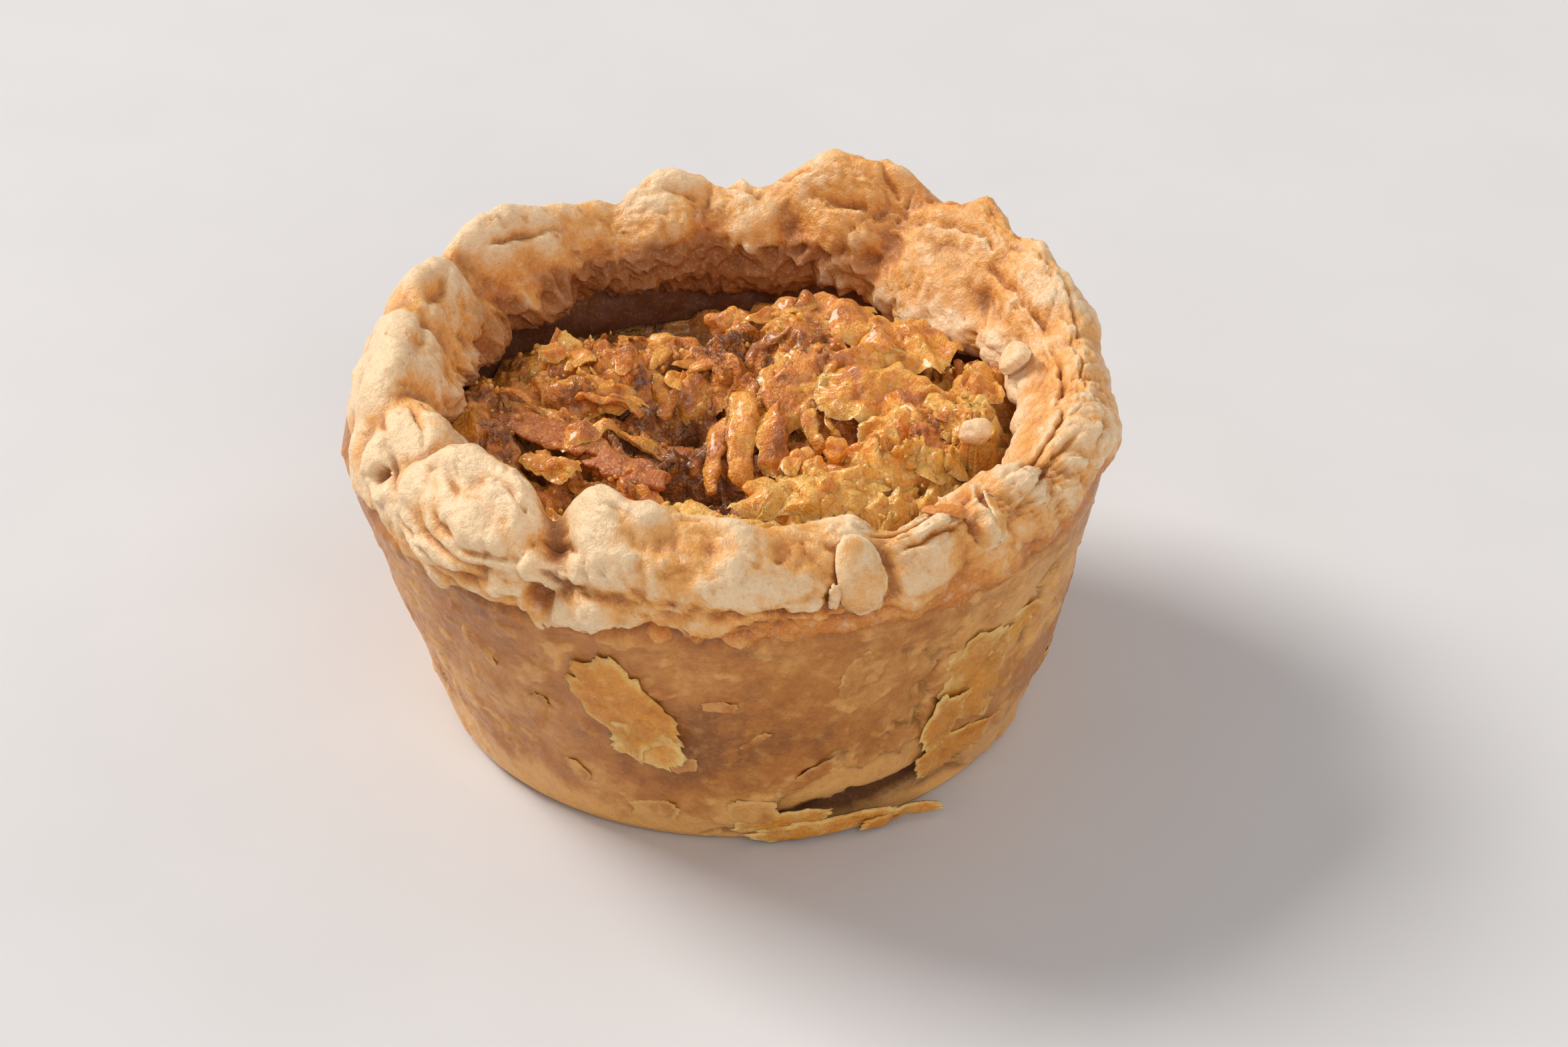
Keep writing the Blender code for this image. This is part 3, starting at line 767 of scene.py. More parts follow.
RIM_SWELLINGS = table_of(
    Swelling,
    (207, 35.0, 3.2, 2.6, 1.0),
    (206.5, 34.8, 1.0, 0.9, -2.2),
    (229, 37.8, 6.5, 4.0, 1.1, -8),
    (225, 33.2, 5.5, 1.3, 0.8, 12),
    (234, 31.6, 4.0, 1.2, 0.7, 15),
    (243.3, 32.2, 1.7, 2.6, -1.8),
    (249, 39.5, 3.4, 5.2, 1.3),
    (244.5, 36.0, 2.6, 2.4, 1.6),
    (252.5, 32.4, 6.0, 2.1, 1.5, 9),
    (262.5, 30.7, 7.0, 1.5, -1.7, -4),
    (254, 39.0, 4.0, 3.6, 1.2),
    (264, 33.6, 5.0, 1.5, 0.9, -6),
    (270, 38.0, 10.0, 2.8, 0.9, -4),
    (290, 36.4, 2.3, 4.6, 1.2, 6),
    (302, 35.5, 5.0, 2.2, 0.7, 12),
    (324, 35.0, 6.0, 3.2, 0.8, -10),
    (340, 37.0, 4.0, 2.6, 0.7),
    (60, 36.0, 6.0, 3.0, 0.7),
    (100, 36.0, 5.0, 3.0, 0.7),
    (132, 36.5, 7.0, 3.2, 0.7),
)
WALL_SWELLINGS = table_of(Swelling, (335, 11.0, 17.0, 11.0, 1.0), (285, 5.5, 14.0, 6.0, 0.6))
WALL_DENTS = table_of(Swelling, (297, 3.8, 11.0, 2.3, -3.0, 4))
FOLDS = table_of(
    Fold,
    ((216, 0.11), (242, 0.040), 0.65, 0.50, -1.0, 0.45),
    ((216, 0.15), (242, 0.085), 0.60, 0.50, -1.2, 0.40),
    ((219, 0.185), (242, 0.125), 0.60, 0.50, -0.8, 0.35),
    ((223, 0.220), (240, 0.165), 0.90, 0.70, -0.8, 0.30),
    ((217, 0.30), (228, 0.26), 0.60, 0.60, 0.8, 0.20),
    ((230, 0.36), (240, 0.27), 0.60, 0.55, 0.8, 0.20),
    ((242, 0.25), (250.5, 0.205), 1.00, 0.60, 0.6, 0.10),
    ((250.8, 0.22), (250.3, 0.13), 0.80, 0.50, 0.8, 0.10),
    ((243, 0.150), (251, 0.125), 0.90, 0.50, -0.4, 0.20),
    ((253, 0.040), (276, 0.055), 1.30, 0.75, 0.4, 0.55),
    ((260, 0.105), (286, 0.100), 0.60, 0.50, 0.6, 0.30),
    ((268, 0.070), (300, 0.075), 0.45, 0.45, 0.3, 0.20),
    ((253, 0.33), (258, 0.22), 0.60, 0.80, 0.8, 0.10),
    ((284.5, 0.10), (286.5, 0.31), 0.80, 0.45, -0.6, 0.10),
    ((294.5, 0.10), (293.0, 0.30), 0.70, 0.45, -0.5, 0.10),
    ((312, 0.17), (317, 0.50), -1.30, 0.40, 1.2, 0.0),
    ((309.6, 0.20), (314.5, 0.48), 1.50, 0.55, 1.2, 0.0),
    ((292, 0.33), (310, 0.39), 0.80, 0.40, 0.8, 0.35),
    ((290, 0.39), (309, 0.45), 0.60, 0.40, 0.8, 0.30),
    ((297, 0.27), (309, 0.30), 0.60, 0.40, 0.5, 0.30),
    ((318, 0.22), (336, 0.30), 0.70, 0.50, 1.0, 0.30),
    ((321, 0.37), (345, 0.41), 0.60, 0.50, -0.8, 0.30),
    ((334, 0.20), (352, 0.24), 0.50, 0.50, 0.8, 0.25),
    ((151, 0.43), (188, 0.45), 0.60, 1.00, 1.0, 0.0),
    ((158, 0.21), (190, 0.24), 0.30, 0.90, -1.0, 0.20),
    ((196, 0.30), (212, 0.22), 0.75, 0.60, 0.6, 0.25),
    ((197, 0.42), (210, 0.38), 0.60, 0.60, 0.5, 0.20),
    ((120, 0.32), (141, 0.26), 0.60, 0.90, 0.8, 0.15),
    ((122, 0.46), (140, 0.44), 0.70, 0.70, 0.6, 0.25),
    ((96, 0.46), (108, 0.30), 0.65, 0.70, 0.6, 0.20),
    ((83, 0.44), (92, 0.27), 0.65, 0.70, 0.6, 0.20),
    ((57, 0.43), (66, 0.28), 0.75, 0.70, 0.6, 0.25),
    ((72, 0.46), (81, 0.30), 0.65, 0.60, 0.6, 0.25),
    ((58, 0.51), (76, 0.48), 0.70, 0.55, 0.5, 0.35),
    ((30, 0.31), (52, 0.37), 0.65, 0.60, 0.8, 0.30),
    ((34, 0.45), (54, 0.50), 0.70, 0.55, -0.6, 0.35),
    ((8, 0.32), (27, 0.37), 0.65, 0.60, -0.8, 0.30),
    ((12, 0.45), (34, 0.49), 0.65, 0.55, 0.6, 0.35),
    ((350, 0.30), (8, 0.35), 0.60, 0.55, 0.8, 0.30),
    ((345, 0.44), (9, 0.47), 0.65, 0.55, -0.6, 0.35),
)
FLAKY = table_of(
    Patch,
    (303, 0.37, 13, 0.12, 1.0),
    (326, 0.22, 12, 0.14, 0.8),
    (350, 0.35, 20, 0.15, 0.6),
    (32, 0.42, 30, 0.14, 0.6),
    (66, 0.47, 16, 0.10, 0.7),
    (98, 0.50, 14, 0.08, 0.5),
    (233, 0.34, 6, 0.06, 0.7),
    (270, 0.09, 24, 0.06, 1.0),
)


def swelling_rise(swellings: tuple, angle_deg: Array, height: Array, roundness: float) -> Array:
    """How far swellings push the outside out: the highest of rise * (1 - u^2 - v^2) ^ roundness, and dents.

    Args:
        swellings: The swellings and dents.
        angle_deg: Angles round the cup.
        height: Heights, in mm.
        roundness: Below 1 the swellings are fuller than a cap.

    Returns:
        The push outward, in mm.
    """
    rise = np.zeros(np.broadcast(angle_deg, height).shape)
    dent = np.zeros_like(rise)
    for s in swellings:
        along = np.radians(turned(angle_deg, s.angle)) * CUP.mouth_r
        across, over = rotated(along, height - s.height, -math.radians(s.lean))
        cap = 1 - (across / s.half_width) ** 2 - (over / s.half_height) ** 2
        push = s.rise * np.clip(cap, 0, 1) ** roundness
        rise = np.maximum(rise, push)
        dent = np.minimum(dent, push)
    return rise + dent


@dataclass(frozen=True)
class CrimpedRim:
    """The hand-crimped rim: a lumpy hoop of dough whose section changes from lobe to lobe.

    A section is a closed curve through six points. Creases pull it towards its core, and swellings, lumps,
    knuckles, folds and the fine relief push it along the line from the core. Sizes are in mm. A pair for a
    noise is the breadth and the height of its bumps. A Window is what `window` takes: a middle angle, a half
    width and a power.
    knuckles, folds, torn layers and pits push it along the line from the core. All sizes are in mm.
    """

    around: int = 650
    rows_shown: int = 140
    rows_hidden: int = 9
    hidden_from: float = 0.86
    hem: Pair = (38.9, 29.2)
    hem_wave: float = 0.9
    foot: Pair = (33.6, 27.6)
    core: Pair = (35.2, 33.6)
    crease_width: float = 2.9
    crease_power: float = 1.7
    crease_from: float = 0.04
    crease_to: float = 0.88
    crease_fade: float = 1.6
    middle_r: float = 36.0
    girth: float = 42.0
    swell_r: Pair = (36.5, 39.5)
    swell_z: Pair = (29.5, 31.5)
    lump: Pair = (7.5, 0.9)
    knuckle: Pair = (3.8, 0.6)
    knobs: Pair = (4.8, 0.24)
    pebble: Pair = (1.9, 0.21)
    grain: Pair = (0.85, 0.10)
    layer_pitch: float = 1.15
    layer_rise: float = 0.26
    wrinkle_depth: float = 0.28
    wrinkle_half: float = 0.06
    calm_share: float = 0.6
    chip_rise: float = 0.32
    pit_depth: float = 0.30
    lip: tuple[Pair, ...] = ((3.0, 1.0), (1.4, 0.5))
    calm_back: Window = (165, 55, 4)
    torn_lip: Window = (122, 74, 4)
    tall_back: Pair = (62, 20)
    front_peak: Pair = (249, 7)
    # Painted shade and light: the inside is browner at the back and paler elsewhere, and the left rim's
    # outside is paler.
    shaded_inside: Window = (125, 70, 4)
    lit_left: Window = (198, 34, 4)
    toasted_top: Window = (56, 34, 4)
    # Painted shade under the hem at the front right.
    hem_shade: Window = (304, 44, 4)
    # Painted shade in the cave under the back and left of the rim.
    deep_cave_shade: Window = (108, 56, 4)
    left_cave_shade: Window = (165, 50, 4)
    brown_side: float = 345
    toasted_z: Pair = (38.5, 42.0)
    reaches: tuple[int, int] = (4, 13)
    # Painted light and shade: how much paler raised places and browner sunken ones are made.
    relief_light_and_shade: float = 0.42

    def section_points(self, angle_deg: Array) -> Array:
        """Six (radius, height) points at each angle, eased from lobe to lobe."""
        stations = np.array([lobe.angle for lobe in LOBES] + [LOBES[0].angle + 360])
        table = np.array([[lobe.outer, lobe.crest, lobe.brow, lobe.inner] for lobe in LOBES + LOBES[:1]])
        a = (angle_deg - stations[0]) % 360 + stations[0]
        i = np.clip(np.searchsorted(stations, a, side="right") - 1, 0, len(LOBES) - 1)
        t = (a - stations[i]) / (stations[i + 1] - stations[i])
        ease = (t * t * (3 - 2 * t))[:, None, None]
        middle = table[i] * (1 - ease) + table[i + 1] * ease
        loop = polar(angle_deg, self.hem[0], 0)
        drop = self.hem_wave * (dough_noise(loop, 9.0, 11) + 0.35 * dough_noise(loop, 3.6, 12))
        hem = np.stack([self.hem[0] + 0.4 * drop, self.hem[1] - drop], -1)[:, None]
        foot = np.broadcast_to(self.foot, (len(a), 1, 2))
        return np.concatenate([hem, middle, foot], axis=1)

    def section_curve(self, control: Array, t: Array) -> Array:
        """A closed Catmull-Rom curve: each stretch is the cubic that its four nearest points give."""
        count = control.shape[1]
        at = (t % 1.0) * count
        i = np.floor(at).astype(int) % count
        u = (at - np.floor(at))[:, None]
        rows = np.arange(len(t))
        p0, p1, p2, p3 = (control[rows, (i + k) % count] for k in (-1, 0, 1, 2))
        cubic = (2 * p0 - 5 * p1 + 4 * p2 - p3) * u**2 + (3 * p1 - p0 - 3 * p2 + p3) * u**3
        return 0.5 * (2 * p1 + (p2 - p0) * u + cubic)

    def crease_pull(self, angle_deg: Array, t: Array) -> Array:
        """The share by which valleys pull the section in: depth * exp(-(distance / width) ^ power)."""
        reach = straight_ramp(t, self.crease_from, self.crease_to)
        in_the_open = np.clip(np.sin(np.pi * reach) * self.crease_fade, 0, 1)
        pull = np.zeros(len(angle_deg))
        for crease in CREASES:
            middle = crease.angle + crease.slant * (2 * reach - 1)
            away = np.radians(np.abs(turned(angle_deg, middle))) * self.middle_r
            valley = np.exp(-((away / self.crease_width) ** self.crease_power))
            pull = np.maximum(pull, crease.depth * valley)
        return pull * in_the_open

    def fold_press(self, angle_deg: Array, t: Array, place: Array) -> Array:
        """How far folds push the surface, in mm.

        A fold's groove is -depth * exp(-(off / half width)^2), where `off` is the distance from its bowed
        line, made uneven by noise. Past the line, a step decays with the distance. Both ends fade out.
        """
        press = np.zeros(len(angle_deg))
        wobble = 0.75 * dough_noise(place, 2.8, 25) + 0.25 * dough_noise(place, 1.0, 26)
        uneven = np.clip(0.85 + 0.9 * dough_noise(place, 3.6, 27), 0.1, 1.6)
        for fold in FOLDS:
            u = np.radians(turned(angle_deg, fold.start[0])) * self.middle_r
            v = (t - fold.start[1]) * self.girth
            du = math.radians(turned(fold.end[0], fold.start[0])) * self.middle_r
            dv = (fold.end[1] - fold.start[1]) * self.girth
            long = math.hypot(du, dv)
            s = (u * du + v * dv) / long**2
            off = (v * du - u * dv) / long - fold.bow * 4 * s * (1 - s) + wobble
            ends = band(s, (-0.06, 0.16), (0.84, 1.06))
            groove = -fold.depth * np.exp(-((off / fold.half_width) ** 2))
            step = fold.step * ramp(off, 0.0, 0.35) * np.exp(-np.clip(off, 0, None) / 2.4)
            press += ends * uneven * (groove + step)
        return press

    def flaky(self, angle_deg: Array, t: Array) -> Array:
        """Where the dough is torn into layers, 0 to 1."""
        share = np.zeros(len(angle_deg))
        for patch in FLAKY:
            oval = spot(angle_deg, t, (patch.angle, patch.t), (patch.half_angle, patch.half_t))
            share = np.maximum(share, patch.strength * oval)
        return share

    def relief(self, angle_deg: Array, t: Array, place: Array) -> Array:
        """The dough's fine surface, in mm: folds, wrinkles, pebbles, torn layers, chips, pits, a ragged lip.

        Torn layers are a saw-tooth along the section, bent by noise: each tooth is one layer's edge.
        """
        torn = warped(place, 3.0, 1.1, 21)
        flaky = self.flaky(angle_deg, t)
        lively = 1 - self.calm_share * window(angle_deg, *self.calm_back)
        push = self.fold_press(angle_deg, t, place)
        line = np.abs(dough_noise(warped(place, 6.0, 2.2, 31), 7.5, 33))
        wrinkles = np.exp(-((line / self.wrinkle_half) ** 2))
        wrinkles *= ramp(dough_noise(place, 9.0, 35), -0.05, 0.35)
        push -= self.wrinkle_depth * lively * wrinkles
        push += self.knobs[1] * lively * billows(warped(place, 3.0, 0.9, 46), self.knobs[0], 47)
        push += self.pebble[1] * lively * billows(torn, self.pebble[0], 3)
        push += self.grain[1] * dough_noise(place, self.grain[0], 4)
        phase = t * self.girth / self.layer_pitch + 1.5 * dough_noise(torn, 4.5, 37)
        push += self.layer_rise * ramp(flaky, 0.25, 0.7) * (phase - np.floor(phase) - 0.5)
        chips = ramp(dough_noise(torn, 2.8, 41), 0.26, 0.31)
        chips += 0.7 * ramp(dough_noise(torn, 1.5, 43), 0.30, 0.35)
        push += self.chip_rise * chips * (0.12 + 0.88 * ramp(flaky, 0.1, 0.5))
        lip = window(angle_deg, *self.torn_lip) * band(t, (0.54, 0.63), (0.78, 0.85))
        push += lip * sum(rise * ridged(torn, size, 55 + k) for k, (size, rise) in enumerate(self.lip))
        return push - self.pit_depth * ramp(dough_noise(torn, 1.4, 45), 0.60, 0.75)

    def surface(self, angle_deg: Array, t: Array, fine: bool = True) -> tuple[Array, Array]:
        """Places on the rim, and how far they stand off its core.

        Args:
            angle_deg: Angles round the tart.
            t: Places along the section, 0 to 1 from the hem over the crest to the inside and back.
            fine: Whether the fine relief is on the rim.

        Returns:
            The places and the distances from the core, in mm.
        """
        section = self.section_curve(self.section_points(angle_deg), t)
        section = section + (np.array(self.core) - section) * self.crease_pull(angle_deg, t)[:, None]
        outward = section - self.core
        outward /= np.linalg.norm(outward, axis=1, keepdims=True)
        side = straight_ramp(section[:, 0], *self.swell_r) * straight_ramp(section[:, 1], *self.swell_z)
        place = polar(angle_deg, section[:, 0], section[:, 1])
        push = side * swelling_rise(RIM_SWELLINGS, angle_deg, section[:, 1], 0.6)
        push += self.lump[1] * dough_noise(place, self.lump[0], 1)
        push += self.knuckle[1] * dough_noise(place, self.knuckle[0], 2)
        if fine:
            push += self.relief(angle_deg, t, place)
        section = section + outward * push[:, None]
        stand = np.linalg.norm(section - self.core, axis=1)
        return CUP.place(angle_deg, section[:, 0], section[:, 1]), stand

    def bake(self, angle_deg: Array, t: Array, place: Array) -> Array:
        """How brown each place is: the hem, the tall back lobe and the inside at the back most, the left
        side least; the inside and left side terms are painted shade and light.
        """
        right = 0.5 + 0.5 * np.cos(np.radians(angle_deg - self.brown_side))
        tall = 0.12 * window(angle_deg, *self.tall_back) - 0.35 * window(angle_deg, *self.front_peak)
        # Painted shade and light: the inside is browner at the back, which lies in shade, and paler
        # elsewhere, where light falls.
        inside = ramp(t, 0.47, 0.66) * (0.72 * window(angle_deg, *self.shaded_inside) - 0.25)
        hem = (0.30 + 0.35 * right) * (1 - ramp(t, 0.03, 0.17))
        # Painted light: the outside of the left rim, which faces the light, is paler.
        pale = 0.30 * window(angle_deg, *self.lit_left) * (1 - ramp(t, 0.36, 0.44))
        toast = 0.28 * window(angle_deg, *self.toasted_top) * ramp(place[:, 2], *self.toasted_z)
        return 0.38 + 0.12 * right + tall + toast + inside + hem - pale + 0.24 * dough_noise(place, 6.5, 51)

    def build(self) -> Piece:
        """The rim as one closed hoop, with numbers for its finish: its browning with painted light and
        shade, and its painted shade.
        """
        angle = np.linspace(0, 360, self.around, endpoint=False)
        shown = np.linspace(0, self.hidden_from, self.rows_shown, endpoint=False)
        steps = np.concatenate([shown, np.linspace(self.hidden_from, 1, self.rows_hidden, endpoint=False)])
        grid_angle, grid_t = (g.ravel() for g in np.meshgrid(angle, steps[::-1], indexing="ij"))
        place, stand = self.surface(grid_angle, grid_t)
        shape = (self.around, len(steps))
        stand = stand.reshape(shape)
        near, far = (stand - blurred(stand, reach, (True, True)) for reach in self.reaches)
        # Painted shade: places below their blurred neighbours, in folds and hollows, are darkened.
        painted_shade = 0.46 * np.clip(-near / 0.4, 0, 1) + 0.36 * np.clip(-far / 1.6, 0, 1)
        # Painted shade under the hem at the front right.
        hem = window(grid_angle, *self.hem_shade) * (1 - ramp(grid_t, 0.02, 0.10))
        painted_shade = np.maximum(painted_shade, 0.42 * hem.reshape(shape))
        # Painted shade in the cave under the back and left of the rim, with a ragged upper edge.
        fringe = grid_t + 0.05 * layered_noise(place, 5.0, 53)
        cave = window(grid_angle, *self.deep_cave_shade) * ramp(fringe, 0.53, 0.63)
        cave = np.maximum(cave, 0.9 * window(grid_angle, *self.left_cave_shade) * ramp(fringe, 0.59, 0.69))
        bake = self.bake(grid_angle, grid_t, place).reshape(shape)
        values = {
            # Painted light and shade: raised places are made paler and sunken ones browner.
            "bake": bake - self.relief_light_and_shade * np.clip(far / 1.2 + near / 1.0, -1, 1),
            "painted_shade": np.maximum(painted_shade, 0.85 * cave.reshape(shape)),
        }
        return hoop("pastry_rim", place.reshape(*shape, 3), values)


# ---- The wall ----


@dataclass(frozen=True)
class CupWall:
    """The cup below the rim: a turned profile with a smooth, softly dented and peeling skin. Sizes in mm.

    The crack is its angle, half width and depth. The seam under the rim is its height and half height. An
    oval is its (angle, height) middle and its two half sizes.
    """

    around: int = 600
    skin_rows: int = 116
    neck_z: float = 33.0
    skin: Pair = (9.0, 0.45)
    skin_from_z: float = 3.0
    ripple: Pair = (3.6, 0.10)
    peel_depth: float = 0.6
    chip_rise: float = 0.16
    peel_window: Pair = (296, 26)
    ledges_z: Pair = (10.5, 5.0)
    ledge_half: float = 0.2
    crack: Triple = (304.2, 0.35, 0.8)
    seam: Pair = (28.6, 0.7)
    inner_lump: float = 0.6
    # Painted shade: the inside of the wall under the rim is set dark brown.
    inner_shade: float = 1.2
    # Painted shade in the recess above the base strip at the lower right.
    recess: tuple[Pair, Pair] = ((297, 3.8), (15, 2.0))
    # Painted shade: the middle of the front wall is made browner.
    front_shade: tuple[Pair, Pair] = ((266, 14), (22, 7))

    def profile(self) -> Array:
        """The turned outline, (radius, height), from the middle of the base out, up, over and back in."""
        c = CUP
        arc = np.radians(np.linspace(-90, -15, 5))
        base = np.stack([np.linspace(0.6, c.base_r - c.base_edge_r, 9), np.zeros(9)], -1)[:-1]
        edge_r, edge_z = c.base_r + c.base_edge_r * (np.cos(arc) - 1), c.base_edge_r * (np.sin(arc) + 1)
        edge = np.stack([edge_r, edge_z], -1)
        z = np.linspace(edge[-1, 1], 29.4, self.skin_rows)[1:]
        skin = np.stack([c.wall_radius(z), z], -1)
        top = np.array([[37.9, self.neck_z], [c.wall_radius(self.neck_z) - c.wall, self.neck_z]])
        z = np.concatenate([np.linspace(31.5, 20.0, 24), [c.floor]])
        inside = np.stack([c.wall_radius(z) - c.wall, z], -1)
        return np.concatenate([base, edge, skin, top, inside, [[0.6, c.floor]]])

    def peeled(self, place: Array, angle_deg: Array) -> Array:
        """How many skins are gone, 0 to 2, with ragged edges: on the lower right and over the base."""
        torn = warped(warped(place, 2.4, 1.3, 61), 0.9, 0.35, 64)
        z = place[..., 2] + 2.8 * layered_noise(torn, 5.0, 63)
        right = window(angle_deg, *self.peel_window)
        upper = ramp(right, 0.25, 0.9) * self.ledges_z[0]
        lower = ramp(right, 0.1, 0.8) * self.ledges_z[1]
        half = self.ledge_half
        gone = sum(1 - ramp(z, ledge - half, ledge + half) for ledge in (upper, lower))
        side = layered_noise(torn, 6.0, 79) + 0.5 * window(angle_deg, 309, 8) - 0.35
        side -= 1 - window(angle_deg, 318, 34, 4)
        gone = gone * ramp(right, 0.04, 0.12)
        return gone + ramp(side, 0.12, 0.18) * band(place[..., 2], (10, 12), (24, 27))

    def relief(self, place: Array, angle_deg: Array, torn: Array, chips: Array, peeled: Array) -> Array:
        """The skin's fine surface: ripples, peeled ledges, raised chips, a crack and a recess, in mm.

        Args:
            place: Places on the wall.
            angle_deg: Their angles.
            torn: The same places, warped.
            chips: Noise whose tops are chips.
            peeled: How many skins are gone.

        Returns:
            The push outward.
        """
        z = place[..., 2]
        fine = self.ripple[1] * billows(torn, self.ripple[0], 65) + 0.06 * dough_noise(place, 1.0, 75)
        fine -= self.peel_depth * peeled
        fine += self.chip_rise * ramp(chips, 0.38, 0.43)
        middle, half, depth = self.crack
        off = np.radians(turned(angle_deg, middle)) * CUP.mouth_r + 1.1 * dough_noise(place, 3.0, 73)
        fine -= depth * np.exp(-((off / half) ** 2)) * band(z, (11, 13), (20, 24))
        fine += swelling_rise(WALL_DENTS, angle_deg, z, 0.6)
        return fine * straight_ramp(z, 0.2, 1.6)

    def soft_push(self, place: Array, angle_deg: Array) -> Array:
        """The skin's broad bumps and swellings, in mm."""
        z = place[..., 2]
        push = self.skin[1] * dough_noise(place, self.skin[0], 5) * straight_ramp(z, 0.0, self.skin_from_z)
        return push + swelling_rise(WALL_SWELLINGS, angle_deg, z, 0.6)

    def bake(self, place: Array, angle_deg: Array, chips: Array, peeled: Array) -> Array:
        """How brown each place is: the front most, which is painted shade, and the foot, which is painted
        bounce light, the right and the bared skin least.
        """
        z = place[..., 2]
        # The foot, which is made paler below as painted bounce light.
        low = 1 - ramp(z + 3.5 * layered_noise(place, 8.0, 85), 1.5, 9.5)
        bake = 0.50 + 0.22 * dough_noise(place, 9.0, 77) - 0.30 * np.clip(peeled, 0, 1)
        # Painted shade browns the front wall; painted bounce light pales the foot.
        bake += 0.60 * spot(angle_deg, z, *self.front_shade) - 0.60 * low
        bake -= 0.20 * ramp(chips, 0.36, 0.44)
        return bake - (0.35 * window(angle_deg, 320, 22) * ramp(z, 12, 23) - 0.15 * ramp(z, 22, 29))

    def build(self) -> Piece:
        """The wall as one closed turned body, with numbers for its finish: its browning with painted light
        and shade, and its painted shade.
        """
        profile = self.profile()
        angle = np.linspace(0, 360, self.around, endpoint=False)
        angles = np.repeat(angle[None], len(profile), 0)
        radius, z = (np.repeat(profile[:, k : k + 1], self.around, 1) for k in (0, 1))
        place = polar(angles, radius, z)
        outer = (z < self.neck_z) & (radius > CUP.wall_radius(z) - CUP.wall / 2)
        torn, peeled = warped(place, 2.0, 0.8, 67), self.peeled(place, angles)
        chips = dough_noise(torn, 2.6, 71)
        fine = self.relief(place, angles, torn, chips, peeled)
        lumps = (0.5 + dough_noise(place, 3.5, 83) + 0.5 * dough_noise(place, 1.6, 84)) * ramp(z, 22.5, 25)
        lumps *= (radius > CUP.base_r - 2) & (z < self.neck_z)
        push = np.where(outer, self.soft_push(place, angles) + fine, -self.inner_lump * lumps)
        # Painted shade: places below their blurred neighbours are darkened.
        painted_shade = np.clip((blurred(fine, 4, (False, True)) - fine) / 0.3, 0, 1)
        # Painted shade along the crease under the rim.
        off = (z - (self.seam[0] + 1.6 * dough_noise(place, 5.0, 80))) / self.seam[1]
        seam = np.exp(-(off**2)) * np.clip(0.3 + dough_noise(place, 4.0, 82), 0, 0.35)
        # Painted shade: the inside of the wall is dark, more so lower down.
        painted_shade = np.where(outer, np.maximum(0.55 * painted_shade, seam), 0.9 - 0.3 * ramp(z, 24, 30))
        # Painted shade in the recess above the base strip.
        painted_shade += 1.5 * spot(angles, z, *self.recess)
        # Painted shade: the inside of the wall is set dark brown.
        bake = np.where(outer, self.bake(place, angles, chips, peeled), self.inner_shade)
        values = {"bake": bake[None], "painted_shade": painted_shade[None]}
        return bodies("pastry_wall", CUP.place(angles, radius + push, z)[None], values)

    def surface(self, angle_deg: Array, z: Array) -> Array:
        """Places on the wall's outside without its fine relief, in mm."""
        radius = CUP.wall_radius(z)
        return CUP.place(angle_deg, radius + self.soft_push(polar(angle_deg, radius, z), angle_deg), z)


# ---- Loose scales of pastry ----


@dataclass(frozen=True)
class Scale:
    """One ragged scale: place, half sizes, turn from level, lift, how far its far end peels off, tone."""

    angle: float
    along: float
    half_long: float
    half_wide: float
    turn: float
    lift: float = 0.3
    peel: float = 0.4
    bake: float = 0.3
    thick: float = 0.55
    ragged: float = 1.0


WALL_SCALES = table_of(
    Scale,
    (254.2, 19.8, 6.8, 4.3, -58, 0.25, 0.7, 0.35, 0.5),
    (256.6, 14.8, 4.2, 2.9, -14, 0.35, 0.8, 0.05, 0.5),
    (314.0, 16.6, 7.0, 5.2, 86, -0.10, 0.4, 0.20, 0.4),
    (321.0, 20.0, 4.4, 2.2, 40, -0.10, 0.7, 0.20, 0.4),
    (308.6, 12.2, 4.4, 2.6, 78, 0.20, 0.4, 0.20, 0.5),
    (312.0, 6.6, 5.4, 2.2, 10, 0.00, 0.3, 0.30, 0.4),
    (288.0, 1.7, 10.2, 1.3, 1, 0.40, 0.9, 0.10, 0.8),
    (301.5, 1.5, 5.4, 0.8, 2, 1.30, 1.4, 0.25, 0.7),
    (279.0, 3.2, 6.0, 1.3, 6, 0.10, 0.3, 0.05, 0.5),
    (100.0, 17.0, 5.0, 2.8, 35, 0.00, 0.5, 0.60, 0.45),
    (150.0, 12.0, 4.0, 2.3, -30, 0.00, 0.5, 0.60, 0.45),
)
